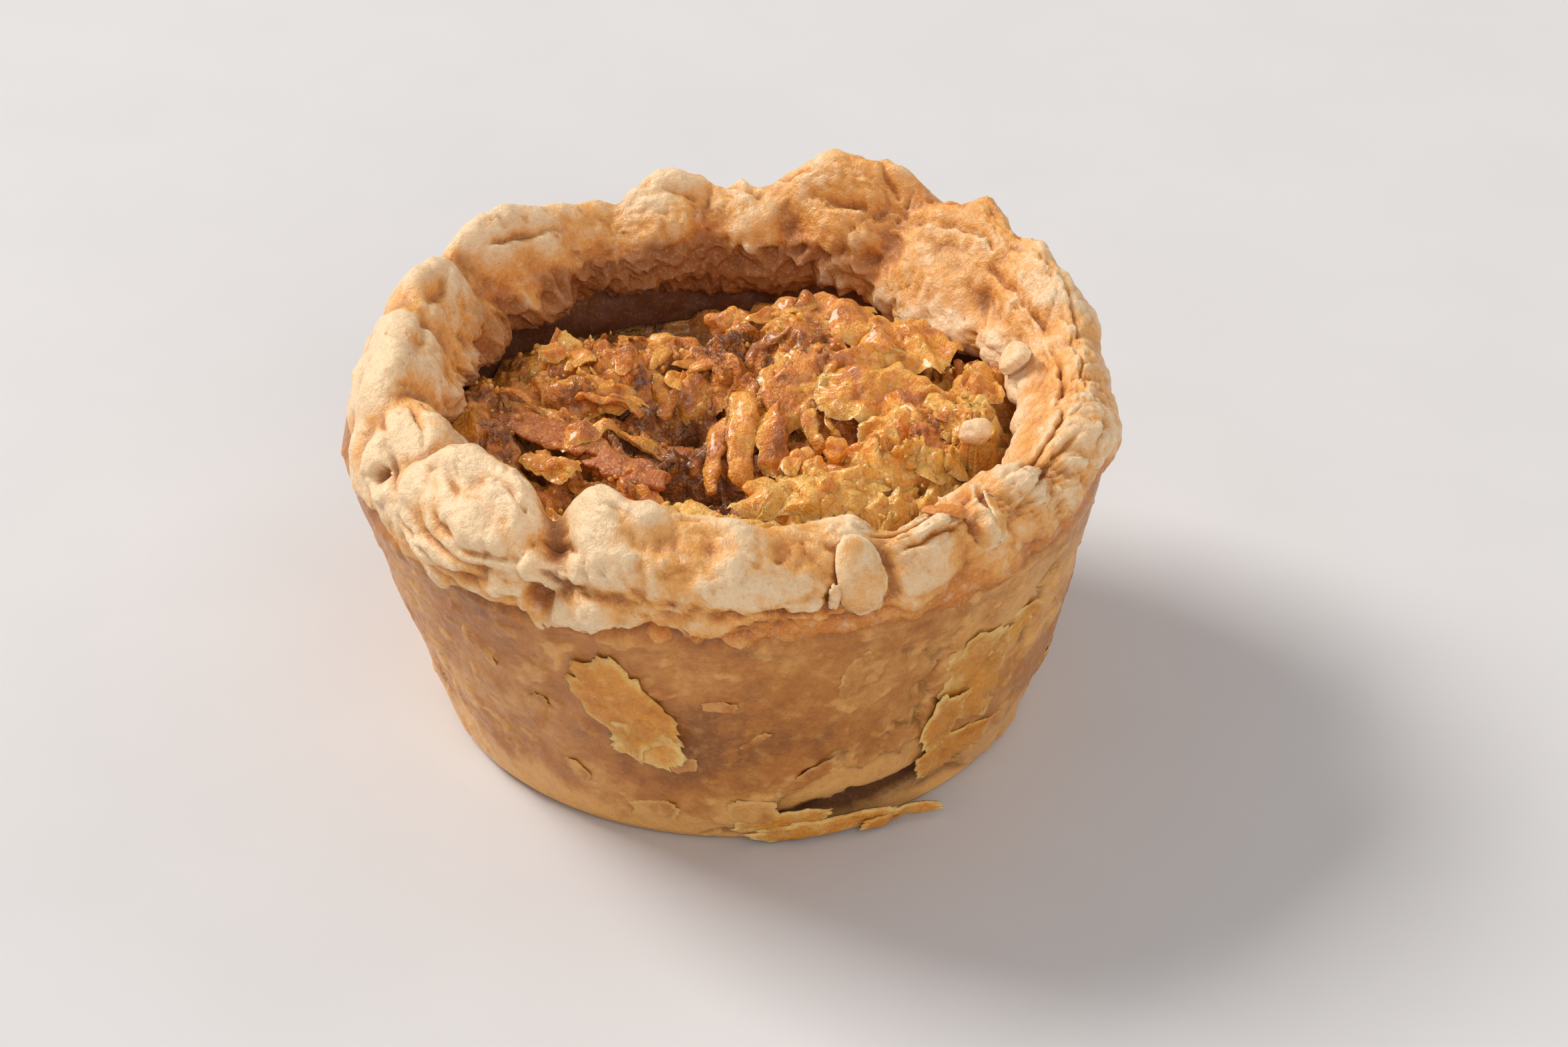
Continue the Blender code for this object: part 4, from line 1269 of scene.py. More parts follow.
WALL_CHIPS = table_of(
    Scale,
    (255.9, 4.0, 3.4, 1.6, 6, 0.00, 0.1, -0.15, 0.4),
    (273.6, 4.9, 3.4, 1.9, -6, 0.05, 0.2, -0.20, 0.5),
    (269.0, 20.8, 2.0, 0.7, 0, 0.05, 0.2, -0.10, 0.5),
    (262.5, 11.4, 1.8, 1.1, 30, 0.00, 0.2, 0.00, 0.4),
    (283.0, 9.4, 4.4, 0.9, 28, 0.00, 0.2, 0.05, 0.4),
    (274.5, 15.6, 2.0, 0.45, 35, 0.00, 0.2, 0.10, 0.4),
    (290.0, 23.4, 3.4, 1.6, 70, -0.10, 0.1, 0.05, 0.4),
    (238.0, 15.5, 3.2, 1.7, 62, -0.05, 0.1, 0.10, 0.4),
    (229.0, 22.0, 2.6, 1.0, -45, 0.00, 0.2, 0.05, 0.4),
    (242.0, 8.0, 2.0, 1.2, -20, 0.00, 0.2, 0.00, 0.4),
    (20.0, 12.0, 2.4, 1.2, 20, -0.10, 0.1, 0.20, 0.4),
    (58.0, 20.0, 2.0, 1.0, -30, -0.10, 0.1, 0.20, 0.4),
    (125.0, 8.0, 2.8, 1.2, 10, -0.10, 0.1, 0.20, 0.4),
    (205.0, 9.0, 2.4, 1.4, 30, -0.10, 0.1, 0.20, 0.4),
    (340.0, 8.0, 2.8, 1.0, 15, -0.10, 0.1, 0.20, 0.4),
)
RIM_SCALES = table_of(
    Scale,
    (289.6, 0.20, 4.5, 2.4, 84, 0.30, 0.2, -0.15, 0.9, 0.25),
    (306.5, 0.37, 3.1, 1.2, 118, 0.45, 0.3, 0.95, 0.9, 0.3),
    (285.6, 0.15, 1.6, 0.55, 84, 0.30, 0.3, -0.3, 0.9),
    (12.5, 0.59, 2.3, 1.8, 20, 0.50, 0.2, -0.2, 2.4, 0.4),
    (314.0, 0.27, 4.2, 0.8, 74, 0.40, 1.0, 0.0),
    (309.0, 0.47, 3.0, 1.0, 35, 0.30, 0.9, 0.05),
)


@dataclass(frozen=True)
class PastryScales:
    """Ragged scales laid on the wall or the rim, each held at one end and peeling off at the other."""

    seed: int = 31
    rings: int = 9
    ring: int = 110

    def outline(self, ragged: Array, seed: int, rings: int, ring: int, square: float) -> tuple[Array, ...]:
        """Share of the way out, and the two coordinates of each point of a ragged, two-sided, squarish disc.

        Round the edge the coordinates are cos a and sin a, each to the power 1 - square * ragged with its
        sign, times a reach: 1 plus three layers of noise, which tears the edge.

        Args:
            ragged: How torn each disc is, 0 to 1.
            seed: Chooses the noise.
            rings: Rings on each side.
            ring: Points in a ring.
            square: How squarish a fully ragged disc is.

        Returns:
            The share and the two coordinates, as disc by ring by point.
        """
        a = np.linspace(0, 2 * np.pi, ring, endpoint=False)
        torn = ragged[:, None]
        key = np.arange(len(ragged))[:, None] * 9.7
        loop = np.stack(np.broadcast_arrays(2.2 * np.cos(a)[None], 2.2 * np.sin(a)[None], key), -1)
        reach = 0.20 * dough_noise(loop, 1.4, seed) + 0.14 * dough_noise(loop, 0.62, seed + 1)
        reach = 1 + torn * (reach + 0.12 * dough_noise(loop, 0.30, seed + 2))
        share = np.linspace(0.05, 1, rings)
        share = np.concatenate([share, share[::-1]])[None, :, None]
        east, north = (np.sign(v) * np.abs(v) ** (1 - square * torn) * reach for v in (np.cos(a), np.sin(a)))
        return share, share * east[:, None], share * north[:, None]

    def laid(self, name: str, surface: Callable, scales: tuple, pitch: float, square: float) -> Piece:
        """Lays scales on a surface of (angle, along), along the surface's own normals.

        Args:
            name: The piece's name.
            surface: Gives places for angles and places along.
            scales: The scales.
            pitch: How many mm one unit of `along` is.
            square: How squarish a fully ragged scale is.

        Returns:
            All the scales as one piece, with a browning number and a painted-shade number for their
            undersides.
        """
        table = columns(scales)
        share, east, north = self.outline(table["ragged"], self.seed, self.rings, self.ring, square)
        q = {key: numbers[:, None, None] for key, numbers in table.items()}
        side = two_sides(self.rings)
        x, y = east * q["half_long"], north * q["half_wide"]
        u, v = rotated(x, y, np.radians(q["turn"]))
        angles = (q["angle"] + np.degrees(u / CUP.mouth_r)).ravel()
        alongs = (q["along"] + v / pitch).ravel()
        round_way = surface(angles + 0.4, alongs) - surface(angles - 0.4, alongs)
        up_way = surface(angles, alongs + 0.3 / pitch) - surface(angles, alongs - 0.3 / pitch)
        normal = np.cross(round_way, up_way)
        normal /= np.linalg.norm(normal, axis=1, keepdims=True)
        key = np.stack([x, y, x * 0 + np.arange(len(scales))[:, None, None] * 9.1], -1)
        peel = q["peel"] * np.clip(x / q["half_long"], 0, None) ** 2
        height = q["lift"] + peel + 0.22 * dough_noise(key, 2.0, 33)
        height += side * half_thickness(share, q["thick"]) + 0.10 * dough_noise(key, 0.8, 34)
        points = (surface(angles, alongs) + normal * height.reshape(-1, 1)).reshape(*x.shape, 3)
        points[..., 2] = np.maximum(points[..., 2], 0.0)
        middle_tone = 0.45 * (1 - ramp(share, 0.75, 1.0))
        bake = q["bake"] + middle_tone + 0.3 * dough_noise(key, 2.5, 35)
        # Painted shade: the undersides of the scales are darkened.
        return bodies(name, points, {"bake": bake, "painted_shade": np.where(side < 0, 0.6, 0.0) + 0 * x})

    def build(self, wall: CupWall, rim: CrimpedRim) -> list[Piece]:
        """The wall's scales, the rim's scales and the wall's thin chips, as three pieces."""

        def over_rim(angle_deg: Array, t: Array) -> Array:
            """Places on the rim without its fine relief."""
            return rim.surface(angle_deg, t, fine=False)[0]

        chips = PastryScales(seed=57, rings=5, ring=80)
        return [
            self.laid("wall_scales", wall.surface, WALL_SCALES, 1.0, 0.45),
            self.laid("rim_scales", over_rim, RIM_SCALES, rim.girth, 0.25),
            chips.laid("wall_chips", wall.surface, WALL_CHIPS, 1.0, 0.2),
        ]


# ---- The filling's bed ----


@dataclass(frozen=True)
class Mound:
    """A rise in the filling, or a dip where `rise` is below 0, with an oval foot."""

    x: float
    y: float
    half_long: float
    half_wide: float
    rise: float
    turn: float = 0.0


MOUNDS = table_of(
    Mound,
    (10, 13, 13, 10, 8.0, -20),
    (21, -3, 9, 7, 5.5, 25),
    (12, -11, 13, 6, 5.0, 12),
    (-6, -20, 15, 7, 5.5, -8),
    (-18, 3, 9, 4, 2.6, -25),
    (-11, -6, 7, 4, 2.0, -25),
    (-17, 14, 9, 7, 4.0, 30),
    (-6, 15, 9, 6, 3.6, 0),
    (-28, 0, 7, 13, 4.6, 0),
    (-2, -6, 9, 6, -4.5, -15),
    (-5, 6, 6, 5, -3.0, 10),
    (-6, 25, 18, 6.5, -6.0, 0),
    (24, 11, 5, 5, -0.3, 0),
    (27, 0, 5, 7, 3.0, 0),
    (27.0, 9.5, 6, 6, 6.2, 0),
    (4, 20, 4, 3, -3.5, 0),
)


@dataclass(frozen=True)
class FillingBed:
    """The filling's own body: a plug that fits the cup, with mounds, hollows, crags and grains, in mm."""

    around: int = 480
    rings: int = 165
    side_gap: float = 0.45
    floor_gap: float = 0.35
    level: float = 25.0
    reach: float = 30.5
    free_r: float = 27.5
    tuck_z: float = 24.0
    tuck_rise: float = 2.2
    front_rise: float = 4.8
    ridge: Pair = (6.0, 1.2)
    crag: Pair = (3.4, 1.5)
    left_rise: float = 3.6
    crests: tuple[Pair, ...] = ((5.2, 0.9), (2.5, 0.5), (1.15, 0.2))
    grain: Pair = (1.2, 0.42)
    pit: float = 1.3
    swirl: tuple[Pair, ...] = ((2.8, 0.8), (1.2, 0.3))
    deep_z: Pair = (20.5, 26.5)
    wet_left: Window = (190, 32, 4)
    grain_half: float = 0.62

    def height(self, x: Array, y: Array) -> Array:
        """The top before its fine relief: a level, plus mounds, plus ridges and crags of noise."""
        z = np.full(np.shape(x), self.level)
        for m in MOUNDS:
            along, across = rotated(x - m.x, y - m.y, -math.radians(m.turn))
            foot = 1 - (along / m.half_long) ** 2 - (across / m.half_wide) ** 2
            z = z + m.rise * np.clip(foot, 0, 1) ** 0.8
        place = np.stack([x, y, z], -1)
        ridges = 1 - 2.5 * np.abs(dough_noise(place, self.ridge[0], 7))
        return z + self.ridge[1] * ridges + self.crag[1] * dough_noise(place, self.crag[0], 8)

    def top(self, x: Array, y: Array) -> Array:
        """The height with the part under the rim held down, less so at the front and right."""
        z = self.height(x, y)
        free = straight_ramp(np.hypot(x, y), self.reach, self.free_r)
        way = np.degrees(np.arctan2(y, x))
        front = ramp(np.cos(np.radians(way + 40)), -0.1, 0.5)
        left = window(way, *self.wet_left)
        held = np.minimum(z, self.tuck_z + self.tuck_rise + self.front_rise * front + self.left_rise * left)
        return held * (1 - free) + z * free

    def relief(self, place: Array) -> Array:
        """The crust's fine surface, in mm: crests of three sizes, pits, and granules at the front and right.

        Crests are ridged noise on warped places. Granules are round bumps about scattered points.
        """
        torn = warped(place, 3.2, 1.4, 81)
        fine = sum(rise * ridged(torn, size, 83 + k) for k, (size, rise) in enumerate(self.crests))
        near = cell_distance(warped(place, 1.6, 0.4, 86), self.grain[0], 88)
        sugared = 0.25 + 0.75 * ramp(place[..., 0] - place[..., 1], 4, 16)
        fine += sugared * self.grain[1] * np.sqrt(np.clip(1 - (near / self.grain_half) ** 2, 0, 1))
        return fine - self.pit * ramp(dough_noise(torn, 2.6, 87), 0.30, 0.42)

    def tone(self, x: Array, y: Array) -> Array:
        """How light the crust is: yellow at the front and right, brown in the middle and at the left."""
        front = 0.52 * ramp(-y, 6, 18) + 0.34 * ramp(x - y, 18, 32)
        middle = -0.55 * np.exp(-((x + 3) ** 2 + (y - 1) ** 2) / 130)
        wet = -0.12 * ramp(-x, 19, 25)
        return 0.48 + front + middle + wet + 0.3 * dough_noise(level_place(x, y), 6.0, 89)

    def build(self) -> Piece:
        """The bed as one closed turned body whose top is moved to the height."""
        c = CUP
        low_z = c.floor + self.floor_gap
        side_z = np.linspace(low_z, self.tuck_z, 6)
        side = np.stack([c.wall_radius(side_z) - c.wall - self.side_gap, side_z], -1)
        radii = np.linspace(side[-1, 0], 0.3, self.rings + 1)[1:]
        top = np.stack([radii, np.full(self.rings, self.level)], -1)
        profile = np.concatenate([[[0.3, low_z]], side, top])
        turn = np.radians(np.linspace(0, 360, self.around, endpoint=False))[None]
        x, y = profile[:, :1] * np.cos(turn), profile[:, :1] * np.sin(turn)
        on_top = np.arange(len(profile))[:, None] > len(side)
        z = np.where(on_top, self.top(x, y), profile[:, 1:])
        place = np.stack([x, y, z], -1)
        fine = np.where(on_top, self.relief(place) * straight_ramp(profile[:, :1], 32.0, 28.5), 0.0)
        moved = raised = place + np.stack([0 * fine, 0 * fine, fine], -1)
        for k, (size, shift) in enumerate(self.swirl):
            moved = warped(moved, size, shift, 151 + 7 * k)
        edge = (straight_ramp(profile[:, :1], 31.0, 28.5) * on_top)[..., None]
        points = c.leaning(raised + (moved - raised) * edge)
        # Painted shade: the crust is darkened where it lies deep and in the pits between its crests.
        deep = 1 - ramp(z + fine, *self.deep_z)
        painted_shade = np.clip((0.1 - fine) / 2.2, 0, 1)
        values = {"tone": self.tone(x, y)[None], "painted_shade": np.clip(0.85 * painted_shade + 0.8 * deep, 0, 1)[None]}
        return bodies("filling_bed", points[None], values)


# ---- What lies on the filling ----


@dataclass(frozen=True)
class Sheet:
    """One crisp scale of crust: middle, half sizes, turn, slope and its bearing, edge droop, tone."""

    x: float
    y: float
    z: float
    half_long: float
    half_wide: float
    turn: float
    slope: float
    bearing: float
    droop: float
    tone: float


SHEETS = table_of(
    Sheet,
    (10.4, 15.5, 33.4, 6.3, 4.6, 10, 0.12, 250, 2.4, 0.55),
    (5.8, 17.4, 33.2, 4.6, 1.8, 18, 0.10, 200, 1.2, 0.40),
    (19.3, 13.0, 32.4, 6.0, 4.8, 35, 0.14, 320, 2.2, 0.62),
    (7.2, 6.8, 31.4, 5.2, 3.7, 62, 0.45, 225, 3.2, 0.50),
    (13.0, 7.6, 32.6, 5.6, 3.4, 20, 0.25, 250, 2.6, 0.62),
    (16.2, 3.8, 31.8, 7.6, 3.9, -14, 0.25, 255, 2.8, 0.58),
    (18.7, -2.0, 31.2, 5.8, 2.6, 4, 0.35, 268, 2.4, 0.76),
    (25.0, -0.4, 31.4, 4.4, 3.2, 62, 0.15, 300, 2.2, 0.78),
    (25.8, 5.6, 31.2, 3.4, 2.6, 70, 0.10, 200, 2.0, 0.66),
    (8.6, -12.6, 30.0, 7.6, 2.3, 8, 0.30, 275, 1.6, 0.95),
    (-3.6, -18.4, 30.3, 8.4, 2.9, -6, 0.15, 90, 1.4, 1.00),
    (-19.2, 15.5, 28.4, 4.6, 3.0, 15, 0.25, 262, 2.0, 0.80),
    (-14.6, 9.8, 28.0, 5.4, 2.0, -8, 0.35, 262, 2.0, 0.50),
    (-13.6, 14.5, 28.4, 2.6, 2.0, 30, 0.30, 250, 1.6, 0.30),
    (-8.4, 17.8, 28.6, 5.4, 2.5, 0, 0.30, 265, 1.8, 0.72),
    (-1.6, 15.8, 28.9, 4.0, 2.0, 5, 0.20, 265, 1.6, 0.48),
    (-3.6, 11.0, 27.0, 4.4, 1.9, -4, 0.50, 265, 2.4, 0.42),
    (2.4, 12.6, 29.2, 3.4, 2.0, 35, 0.50, 230, 2.2, 0.40),
    (4.8, 0.4, 28.8, 3.0, 2.2, 84, 0.80, 290, 3.0, 0.50),
    (-18.4, -4.6, 28.5, 3.6, 1.9, -30, 0.25, 235, 1.2, 0.55),
    (-25.0, 2.0, 27.4, 3.6, 2.6, 75, 0.15, 180, 1.2, 0.40),
    (-22.5, 10.0, 27.6, 3.6, 2.4, 60, 0.20, 270, 1.4, 0.45),
)


@dataclass(frozen=True)
class CrispSheets:
    """Ragged scales of caramel crust whose torn edges droop over the hollows. Sizes in mm."""

    seed: int = 5
    small: int = 40
    spread_r: float = 25.0
    thick: float = 1.0
    crumple: Pair = (0.9, 0.3)
    apart: float = 7.0
    droop_share: float = 0.65
    outlines: tuple[tuple[float, int, int, int], ...] = ((0.7, 101, 13, 140), (0.5, 111, 5, 32))
    follows: Pair = (0.15, 0.5)

    def laid(self, bed: FillingBed, sheets: Values, outline: tuple, follow: float) -> tuple[Array, Values]:
        """Places of ragged, drooping discs, with a tone number and a painted-shade number.

        The outline's coordinates are stretched by the half sizes and turned. A point's height is the
        sheet's, plus its slope, less droop * s^2.5, and partly the bed's. Noise then crumples it.

        Args:
            bed: The bed that they lie on.
            sheets: One number a sheet for each of the Sheet fields.
            outline: Share of the way out and the two coordinates of each point.
            follow: Share of the bed's own height that the sheets take up.

        Returns:
            Places, as body by row by ring by (X, Y, Z), and the numbers.
        """
        share, east, north = outline
        q = {key: numbers[:, None, None] for key, numbers in sheets.items()}
        side, bearing = two_sides(share.shape[1] // 2), np.radians(q["bearing"])
        dx, dy = rotated(east * q["half_long"], north * q["half_wide"], np.radians(q["turn"]))
        x, y = q["x"] + dx, q["y"] + dy
        flat = q["z"] - q["slope"] * (dx * np.cos(bearing) + dy * np.sin(bearing))
        under = bed.top(x, y) - bed.top(q["x"], q["y"])
        fingers = np.clip(0.55 + 0.9 * dough_noise(level_place(x, y), 2.0, 96), 0.05, 1.6)
        z = flat + follow * under - self.droop_share * q["droop"] * share**2.5 * fingers
        apart = np.array([0, 0, self.apart]) * np.arange(len(flat))[:, None, None, None]
        middle = np.stack([x, y, z], -1) + apart
        calm = 1 - 0.8 * share**3
        middle[..., 2] += calm * (0.7 * ridged(middle, 4.2, 91) + 0.25 * ridged(middle, 1.8, 93))
        points = warped(warped(middle, 3.2, self.crumple[0], 99), 1.4, self.crumple[1], 97)
        lift = side * half_thickness(share, self.thick) + 0 * x
        points += np.stack([0 * lift, 0 * lift, lift], -1) - apart
        raised = (points - middle + apart)[..., 2]
        # Lighter at the thin edges: partly the thin caramel's own colour, partly painted glow of light
        # through it.
        tone = q["tone"] + 0.22 * ramp(share, 0.7, 1.0) - 0.12 * raised + 0.25 * dough_noise(points, 3.0, 98)
        # Painted shade on the undersides and where the sheets lie deep.
        painted_shade = np.where(side < 0, 0.5, 0.0) + 0.6 * sunk(points)
        return CUP.leaning(points), {"tone": tone, "painted_shade": painted_shade}

    def build(self, bed: FillingBed, scales: PastryScales) -> list[Piece]:
        """The large sheets as one piece and small scattered ones as another."""
        rng = np.random.default_rng(self.seed)
        n = self.small
        x, y = scattered(rng, n, self.spread_r)
        small = {
            "x": x,
            "y": y,
            "z": bed.top(x, y) + rng.uniform(0.2, 1.2, n),
            "half_long": rng.uniform(1.0, 2.8, n),
            "half_wide": rng.uniform(0.8, 1.7, n),
            "turn": rng.uniform(0, 360, n),
            "slope": rng.uniform(-0.4, 0.6, n),
            "bearing": rng.uniform(0, 360, n),
            "droop": rng.uniform(0.4, 1.4, n),
            "tone": bed.tone(x, y) + rng.uniform(-0.2, 0.35, n),
        }
        pieces = []
        for k, (name, sheets) in enumerate((("crisp_sheets", columns(SHEETS)), ("crisp_scales", small))):
            ragged, *sizes = self.outlines[k]
            outline = scales.outline(np.full(len(sheets["x"]), ragged), *sizes, 0)
            pieces.append(bodies(name, *self.laid(bed, sheets, outline, self.follows[k])))
        return pieces


@dataclass(frozen=True)
class ToastedShreds:
    """Toasted shreds: bent, flat, tapering strips from one place to another. Sizes in mm."""

    seed: int = 11
    count: int = 34
    length: Pair = (3.0, 6.5)
    half_width: Pair = (0.25, 0.5)
    spread_r: float = 24.0
    rows: int = 21
    ring: int = 16
    section: Pair = (1.35, 0.55)
    rough: float = 0.55
    placed: Table = (
        (2.2, 5.9, 30.6, 1.6, -4.6, 25.0, 1.15, 0.55),
        (0.4, 3.6, 28.6, -1.8, -3.6, 23.6, 0.90, 0.45),
        (16.9, -3.2, 31.6, 16.5, -9.2, 28.4, 0.95, 0.75),
        (-1.6, 17.6, 30.6, 2.8, 18.2, 31.8, 1.30, 0.42),
        (1.6, 16.4, 31.6, 7.4, 18.6, 34.0, 0.80, 0.40),
        (0.2, 16.6, 29.6, 8.6, 16.0, 30.8, 0.75, 0.45),
        (-4.0, 13.2, 28.6, 5.0, 14.6, 30.2, 0.80, 0.50),
        (4.6, 9.4, 31.4, 6.2, 2.6, 28.2, 1.00, 0.50),
        (9.2, 2.4, 30.4, 9.8, -1.8, 27.6, 0.60, 0.60),
        (21.0, 1.6, 32.4, 24.2, -4.2, 31.0, 0.80, 0.80),
        (22.6, -6.6, 31.0, 15.6, -8.6, 30.4, 0.80, 0.85),
        (-16.2, 7.6, 28.6, -9.0, 7.0, 27.2, 0.80, 0.60),
        (-12.0, 3.0, 26.8, -6.0, 1.0, 25.0, 0.80, 0.45),
        (-7.6, 13.2, 28.6, -7.0, 8.6, 25.4, 0.80, 0.45),
        (26.4, 1.8, 32.2, 27.4, -4.6, 31.2, 0.80, 0.80),
    )

    def build(self, bed: FillingBed) -> Piece:
        """The placed shreds and a seeded scatter of small ones, as one piece.

        A shred's middle line runs straight from start to end, bowed sideways and up by bow * (1 - 4 s^2),
        with s from -0.5 to 0.5. Its section is a flat oval that twists, narrows to both ends and is
        roughened by noise.
        """
        rng = np.random.default_rng(self.seed)
        placed = np.array(self.placed)
        n = self.count
        middle = np.stack(scattered(rng, n, self.spread_r), -1)
        half = 0.5 * rng.uniform(*self.length, n)[:, None]
        heading = rng.uniform(0, 2 * np.pi, n)
        run = half * np.stack([np.cos(heading), np.sin(heading)], -1)
        ends = [np.column_stack([p, bed.top(p[:, 0], p[:, 1]) + 0.5]) for p in (middle - run, middle + run)]
        start, end = np.concatenate([placed[:, :3], ends[0]]), np.concatenate([placed[:, 3:6], ends[1]])
        thick = np.concatenate([placed[:, 6], rng.uniform(*self.half_width, n)])
        tone = np.concatenate([placed[:, 7], bed.tone(*middle.T) + rng.uniform(-0.25, 0.3, n)])
        n = len(start)
        along = end - start
        level = np.stack([-along[:, 1], along[:, 0], 0 * along[:, 0]], -1)
        level /= np.linalg.norm(level, axis=1, keepdims=True)
        over = np.cross(along, level)
        over /= np.linalg.norm(over, axis=1, keepdims=True)
        each = (slice(None), None, None)
        s = np.linspace(-0.5, 0.5, self.rows)[None, :, None]
        a = np.linspace(0, 2 * np.pi, self.ring, endpoint=False)[None, None, :]
        size = thick[each] * (1 - 0.9 * s**2) * (1 - 0.85 * ramp(np.abs(s), 0.43, 0.505))
        along_key = 3 * s + 5.3 * np.arange(n)[each]
        fibre = np.stack(np.broadcast_arrays(2 * np.cos(a), 2 * np.sin(a), along_key), -1)
        size = size * (1 + self.rough * dough_noise(fibre, 1.0, 128))
        roll = rng.uniform(-0.5, 0.5, n)[each] + rng.uniform(-1.6, 1.6, n)[each] * s
        across, up = self.section[0] * size * np.cos(a), self.section[1] * size * np.sin(a)
        bow = (1 - 4 * s**2) + 0 * a
        sideways, upward = rotated(across, up, roll)
        sideways = sideways + rng.uniform(-0.8, 0.8, n)[each] * bow
        upward = upward + rng.uniform(0.0, 0.8, n)[each] * bow
        line = start[:, None, None] + along[:, None, None] * (s[..., None] + 0.5)
        points = line + level[:, None, None] * sideways[..., None] + over[:, None, None] * upward[..., None]
        points = warped(warped(points, 2.0, 0.5, 121), 0.8, 0.16, 124)
        # Painted shade where the shreds lie deep.
        values = {"tone": np.broadcast_to(tone[each], points.shape[:3]), "painted_shade": 0.6 * sunk(points)}
        return bodies("toasted_shreds", CUP.leaning(points), values)


@dataclass(frozen=True)
class Lumps:
    """Rounded lumps: balls stretched along three sizes, turned, and roughened by noise. Sizes in mm."""

    rows: int = 7
    ring: int = 10
    rough: float = 0.45

    def laid(self, name: str, rows: Array, tone: Array | float, seed: int) -> Piece:
        """Makes the lumps of a table as one piece, with painted shade where they lie deep.

        Args:
            name: The piece's name.
            rows: A row a lump: X, Y and Z of its middle, half length, width and height, turn of the length
                in degrees, and how far the length slopes down, as a share.
            tone: How light each lump is.
            seed: Chooses the roughness.

        Returns:
            The joined object.
        """
        n = len(rows)
        middle, sizes = rows[:, None, None, :3], rows[:, None, None, 3:6]
        up = np.linspace(-np.pi / 2 + 0.2, np.pi / 2 - 0.2, self.rows)[None, :, None]
        a = np.linspace(0, 2 * np.pi, self.ring, endpoint=False)[None, None, :]
        one = np.ones((n, 1, 1))
        east, north = np.cos(up) * np.cos(a) * one, np.cos(up) * np.sin(a) * one
        ball = np.stack([east, north, np.sin(up) * one + 0 * a], -1)
        key = ball * sizes / sizes.mean(-1, keepdims=True) + 7.3 * np.arange(n)[:, None, None, None]
        bumps = 1 + self.rough * (dough_noise(key, 0.9, seed) + 0.4 * dough_noise(key, 0.4, seed + 1))
        out = ball * bumps[..., None] * sizes
        x, y = rotated(out[..., 0], out[..., 1], np.radians(rows[:, 6, None, None]))
        z = out[..., 2] - rows[:, 7, None, None] * out[..., 0]
        points = CUP.leaning(middle + np.stack([x, y, z], -1))
        tones = np.broadcast_to(tone[:, None, None], points.shape[:3])
        # Painted shade where the lumps lie deep.
        return bodies(name, points, {"tone": tones, "painted_shade": 0.5 * sunk(points)})


@dataclass(frozen=True)
class Toppings:
    """Nut slices, kernels and crumbs that lie on the filling. Sizes in mm."""

    seed: int = 23
    crumbs: int = 700
    radius: Pair = (0.12, 0.38)
    spread_r: float = 27.5
    nuts: Table = (
        (-18.1, 0.9, 28.4, 6.6, 2.3, 0.8, -28, 0.06),
        (-10.7, -5.0, 27.8, 4.6, 2.1, 1.0, -32, 0.02),
        (-6.0, 3.4, 23.2, 3.2, 1.6, 1.2, 60, 0.10),
    )
    kernels: Table = (
        (7.7, -7.3, 30.0, 1.7, 1.3, 1.4, 40, 0.1),
        (11.3, -7.0, 30.9, 1.2, 1.1, 1.6, 10, 0.0),
        (14.1, -7.5, 30.2, 1.8, 1.2, 1.1, 5, 0.0),
        (19.6, -7.8, 30.4, 1.7, 1.2, 1.0, 30, 0.0),
        (3.4, -11.2, 29.4, 1.6, 1.2, 1.1, 20, 0.0),
        (0.2, 18.0, 31.4, 2.4, 1.5, 1.6, 12, 0.0),
        (9.2, -9.6, 30.4, 1.2, 1.0, 1.7, 40, 0.1),
    )
    kernel_tones: tuple[float, ...] = (0.8, 0.7, 0.9, 0.8, 0.8, 0.5, 0.8)
    pale: tuple[float, ...] = (25.7, -5.8, 32.8, 1.9, 1.5, 1.3, 25, 0.0)

    def build(self, bed: FillingBed) -> list[Piece]:
        """The nut slices, the pale kernel, the other kernels and the crumbs, as four pieces."""
        nuts, pale, kernels = (np.array(rows) for rows in (self.nuts, [self.pale], self.kernels))
        whole = [
            Lumps(rows=30, ring=54, rough=0.6).laid("nut_slices", nuts, np.zeros(len(nuts)), 141),
            Lumps(rows=20, ring=32, rough=0.16).laid("pale_kernel", pale, np.zeros(1), 145),
            Lumps(rows=20, ring=32, rough=0.4).laid("kernels", kernels, np.array(self.kernel_tones), 143),
        ]
        rng = np.random.default_rng(self.seed)
        n = self.crumbs
        x, y = scattered(rng, n, self.spread_r)
        radius = self.radius[0] + (self.radius[1] - self.radius[0]) * rng.uniform(0, 1, n) ** 2
        z = bed.top(x, y) + rng.uniform(0.2, 1.1, n)
        sizes = radius[:, None] * rng.uniform(0.7, 1.5, (n, 3))
        rows = np.column_stack([x, y, z, sizes, rng.uniform(0, 360, n), np.zeros(n)])
        tone = bed.tone(x, y) + rng.uniform(-0.1, 0.5, n)
        return [*whole, Lumps(rows=5, ring=8).laid("sugar_crumbs", rows, tone, 131)]


# ---- Studio ----


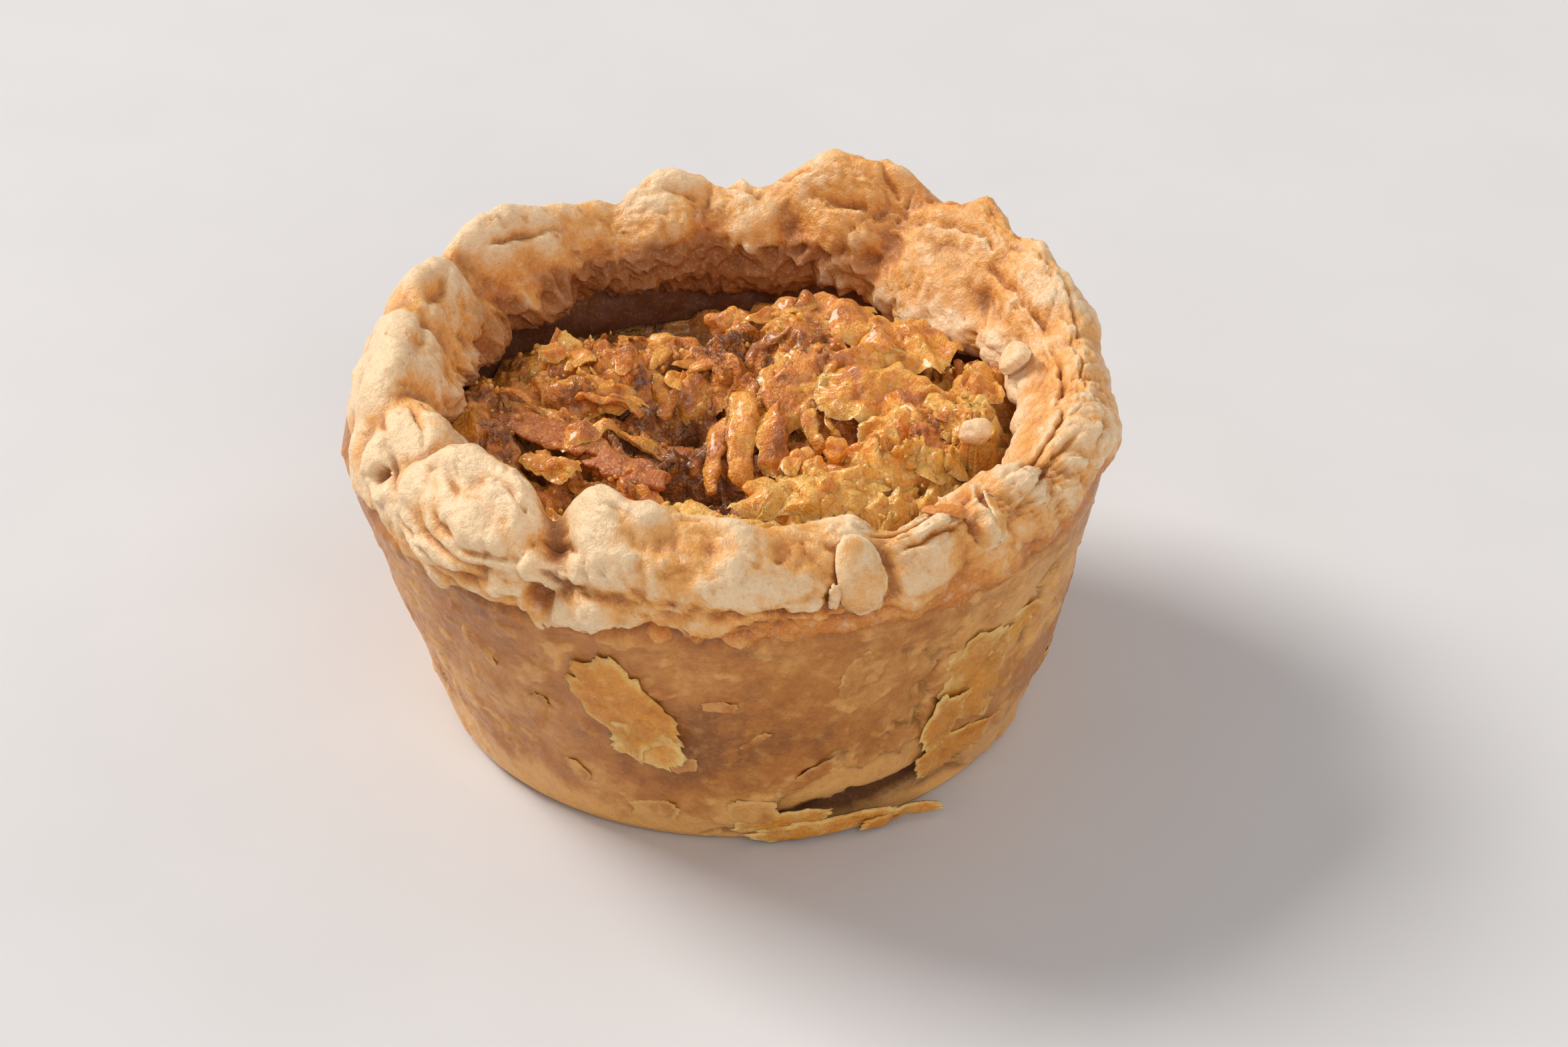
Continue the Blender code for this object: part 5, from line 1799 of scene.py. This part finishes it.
@dataclass(frozen=True)
class Studio:
    """Pale floor, soft light from the back left, and the camera at the photographed angle."""

    camera_mm: Triple = (5.198, -383.3, 274.05)
    looks_down_deg: float = 33.787
    lens: float = 100.0
    sensor: float = 36.0
    clip_start: float = 0.01
    floor_half: float = 2.0
    floor_z: float = -0.0002
    sky: Colour = (0.98, 0.98, 1.0)
    sky_strength: float = 0.34
    lamp_colour: Colour = (1.0, 0.98, 0.95)
    aim: Triple = (0, 0, 0.02)
    lamps: tuple[tuple[str, Triple, float, float], ...] = (
        ("window", (-1.92, 1.15, 1.92), 1.12, 87.0),
        ("right_fill", (1.20, 0.70, 0.90), 1.0, 4.0),
        ("front_fill", (0.45, -1.50, 1.00), 1.2, 10.5),
    )

    def build(self) -> None:
        """Makes the floor, the camera, the lights and the sky, and sets plain colour handling."""
        scene = bpy.context.scene
        camera = bpy.data.cameras.new("camera")
        camera.lens, camera.sensor_width = self.lens, self.sensor
        camera.clip_start = self.clip_start
        holder = bpy.data.objects.new("camera", camera)
        holder.location = Vector(self.camera_mm) * MM
        holder.rotation_euler = (math.radians(90 - self.looks_down_deg), 0, 0)
        scene.collection.objects.link(holder)
        scene.camera = holder
        for name, at, size, watts in self.lamps:
            self.light(name, at, size, watts)
        world = bpy.data.worlds.new("sky")
        world.use_nodes = True
        background = world.node_tree.nodes["Background"]
        background.inputs["Color"].default_value = linear(self.sky)
        background.inputs["Strength"].default_value = self.sky_strength
        scene.world = world
        scene.view_settings.view_transform = "Standard"
        self.floor()

    def light(self, name: str, at: Triple, size: float, watts: float) -> None:
        """One soft square light that faces the tart."""
        lamp = bpy.data.lights.new(name, "AREA")
        lamp.size, lamp.energy, lamp.color = size, watts, self.lamp_colour
        holder = bpy.data.objects.new(name, lamp)
        holder.location = at
        holder.rotation_euler = (Vector(self.aim) - Vector(at)).to_track_quat("-Z", "Y").to_euler()
        bpy.context.scene.collection.objects.link(holder)

    def floor(self) -> None:
        """A plain square floor, a hair below the tart's base."""
        h, z = self.floor_half, self.floor_z
        mesh = bpy.data.meshes.new("floor")
        mesh.from_pydata([(-h, -h, z), (h, -h, z), (h, h, z), (-h, h, z)], [], [(0, 1, 2, 3)])
        made = bpy.data.objects.new("floor", mesh)
        made.data.materials.append(FloorFinish("floor_top").material())
        bpy.context.scene.collection.objects.link(made)


def main() -> None:
    """Builds the tart piece by piece and dresses each."""
    Studio().build()
    rim_finish = PastryFinish("rim_pastry").material()
    wall_finish = PastryFinish(
        "wall_pastry",
        pale=(0.91, 0.67, 0.37),
        gold=(0.75, 0.47, 0.19),
        brown=(0.58, 0.34, 0.13),
        fold=(0.36, 0.16, 0.04),
        butter=(0.89, 0.68, 0.37),
        roughness=0.38,
        depth_mm=0.12,
        spot_share=0.33,
        spot_edge=0.72,
        blotch_mm=4.0,
        crumb_share=0.13,
    ).material()
    flake_finish = PastryFinish(
        "flake_pastry",
        pale=(0.98, 0.79, 0.46),
        gold=(0.90, 0.59, 0.19),
        brown=(0.80, 0.47, 0.11),
        fold=(0.50, 0.28, 0.10),
        butter=(0.97, 0.82, 0.57),
        spot_share=0.25,
    ).material()
    filling_finish = FillingFinish("caramel_filling").material()
    crust_finish = FillingFinish("crisp_crust", deep=(0.70, 0.41, 0.17)).material()
    nut_finish = FillingFinish(
        "nut_skin",
        deep=(0.74, 0.41, 0.17),
        orange=(0.92, 0.58, 0.24),
        depth_mm=0.45,
        roughness=0.38,
        coat=0.12,
    ).material()
    wall, rim, bed, scales = CupWall(), CrimpedRim(), FillingBed(), PastryScales()
    pieces = [wall.build(), rim.build(), *scales.build(wall, rim)]
    for piece, finish in zip(pieces, (wall_finish, rim_finish, flake_finish, rim_finish, wall_finish)):
        dress(piece, finish, Node.SHELL)
    pieces = [bed.build(), *CrispSheets().build(bed, scales), ToastedShreds().build(bed)]
    pieces += Toppings().build(bed)
    finishes = (filling_finish, *[crust_finish] * 3, nut_finish, rim_finish, *[crust_finish] * 2)
    for piece, finish in zip(pieces, finishes):
        dress(piece, finish, Node.FILLING)


if __name__ == "__main__":
    logging.basicConfig(level=logging.INFO, format="%(message)s")
    main()
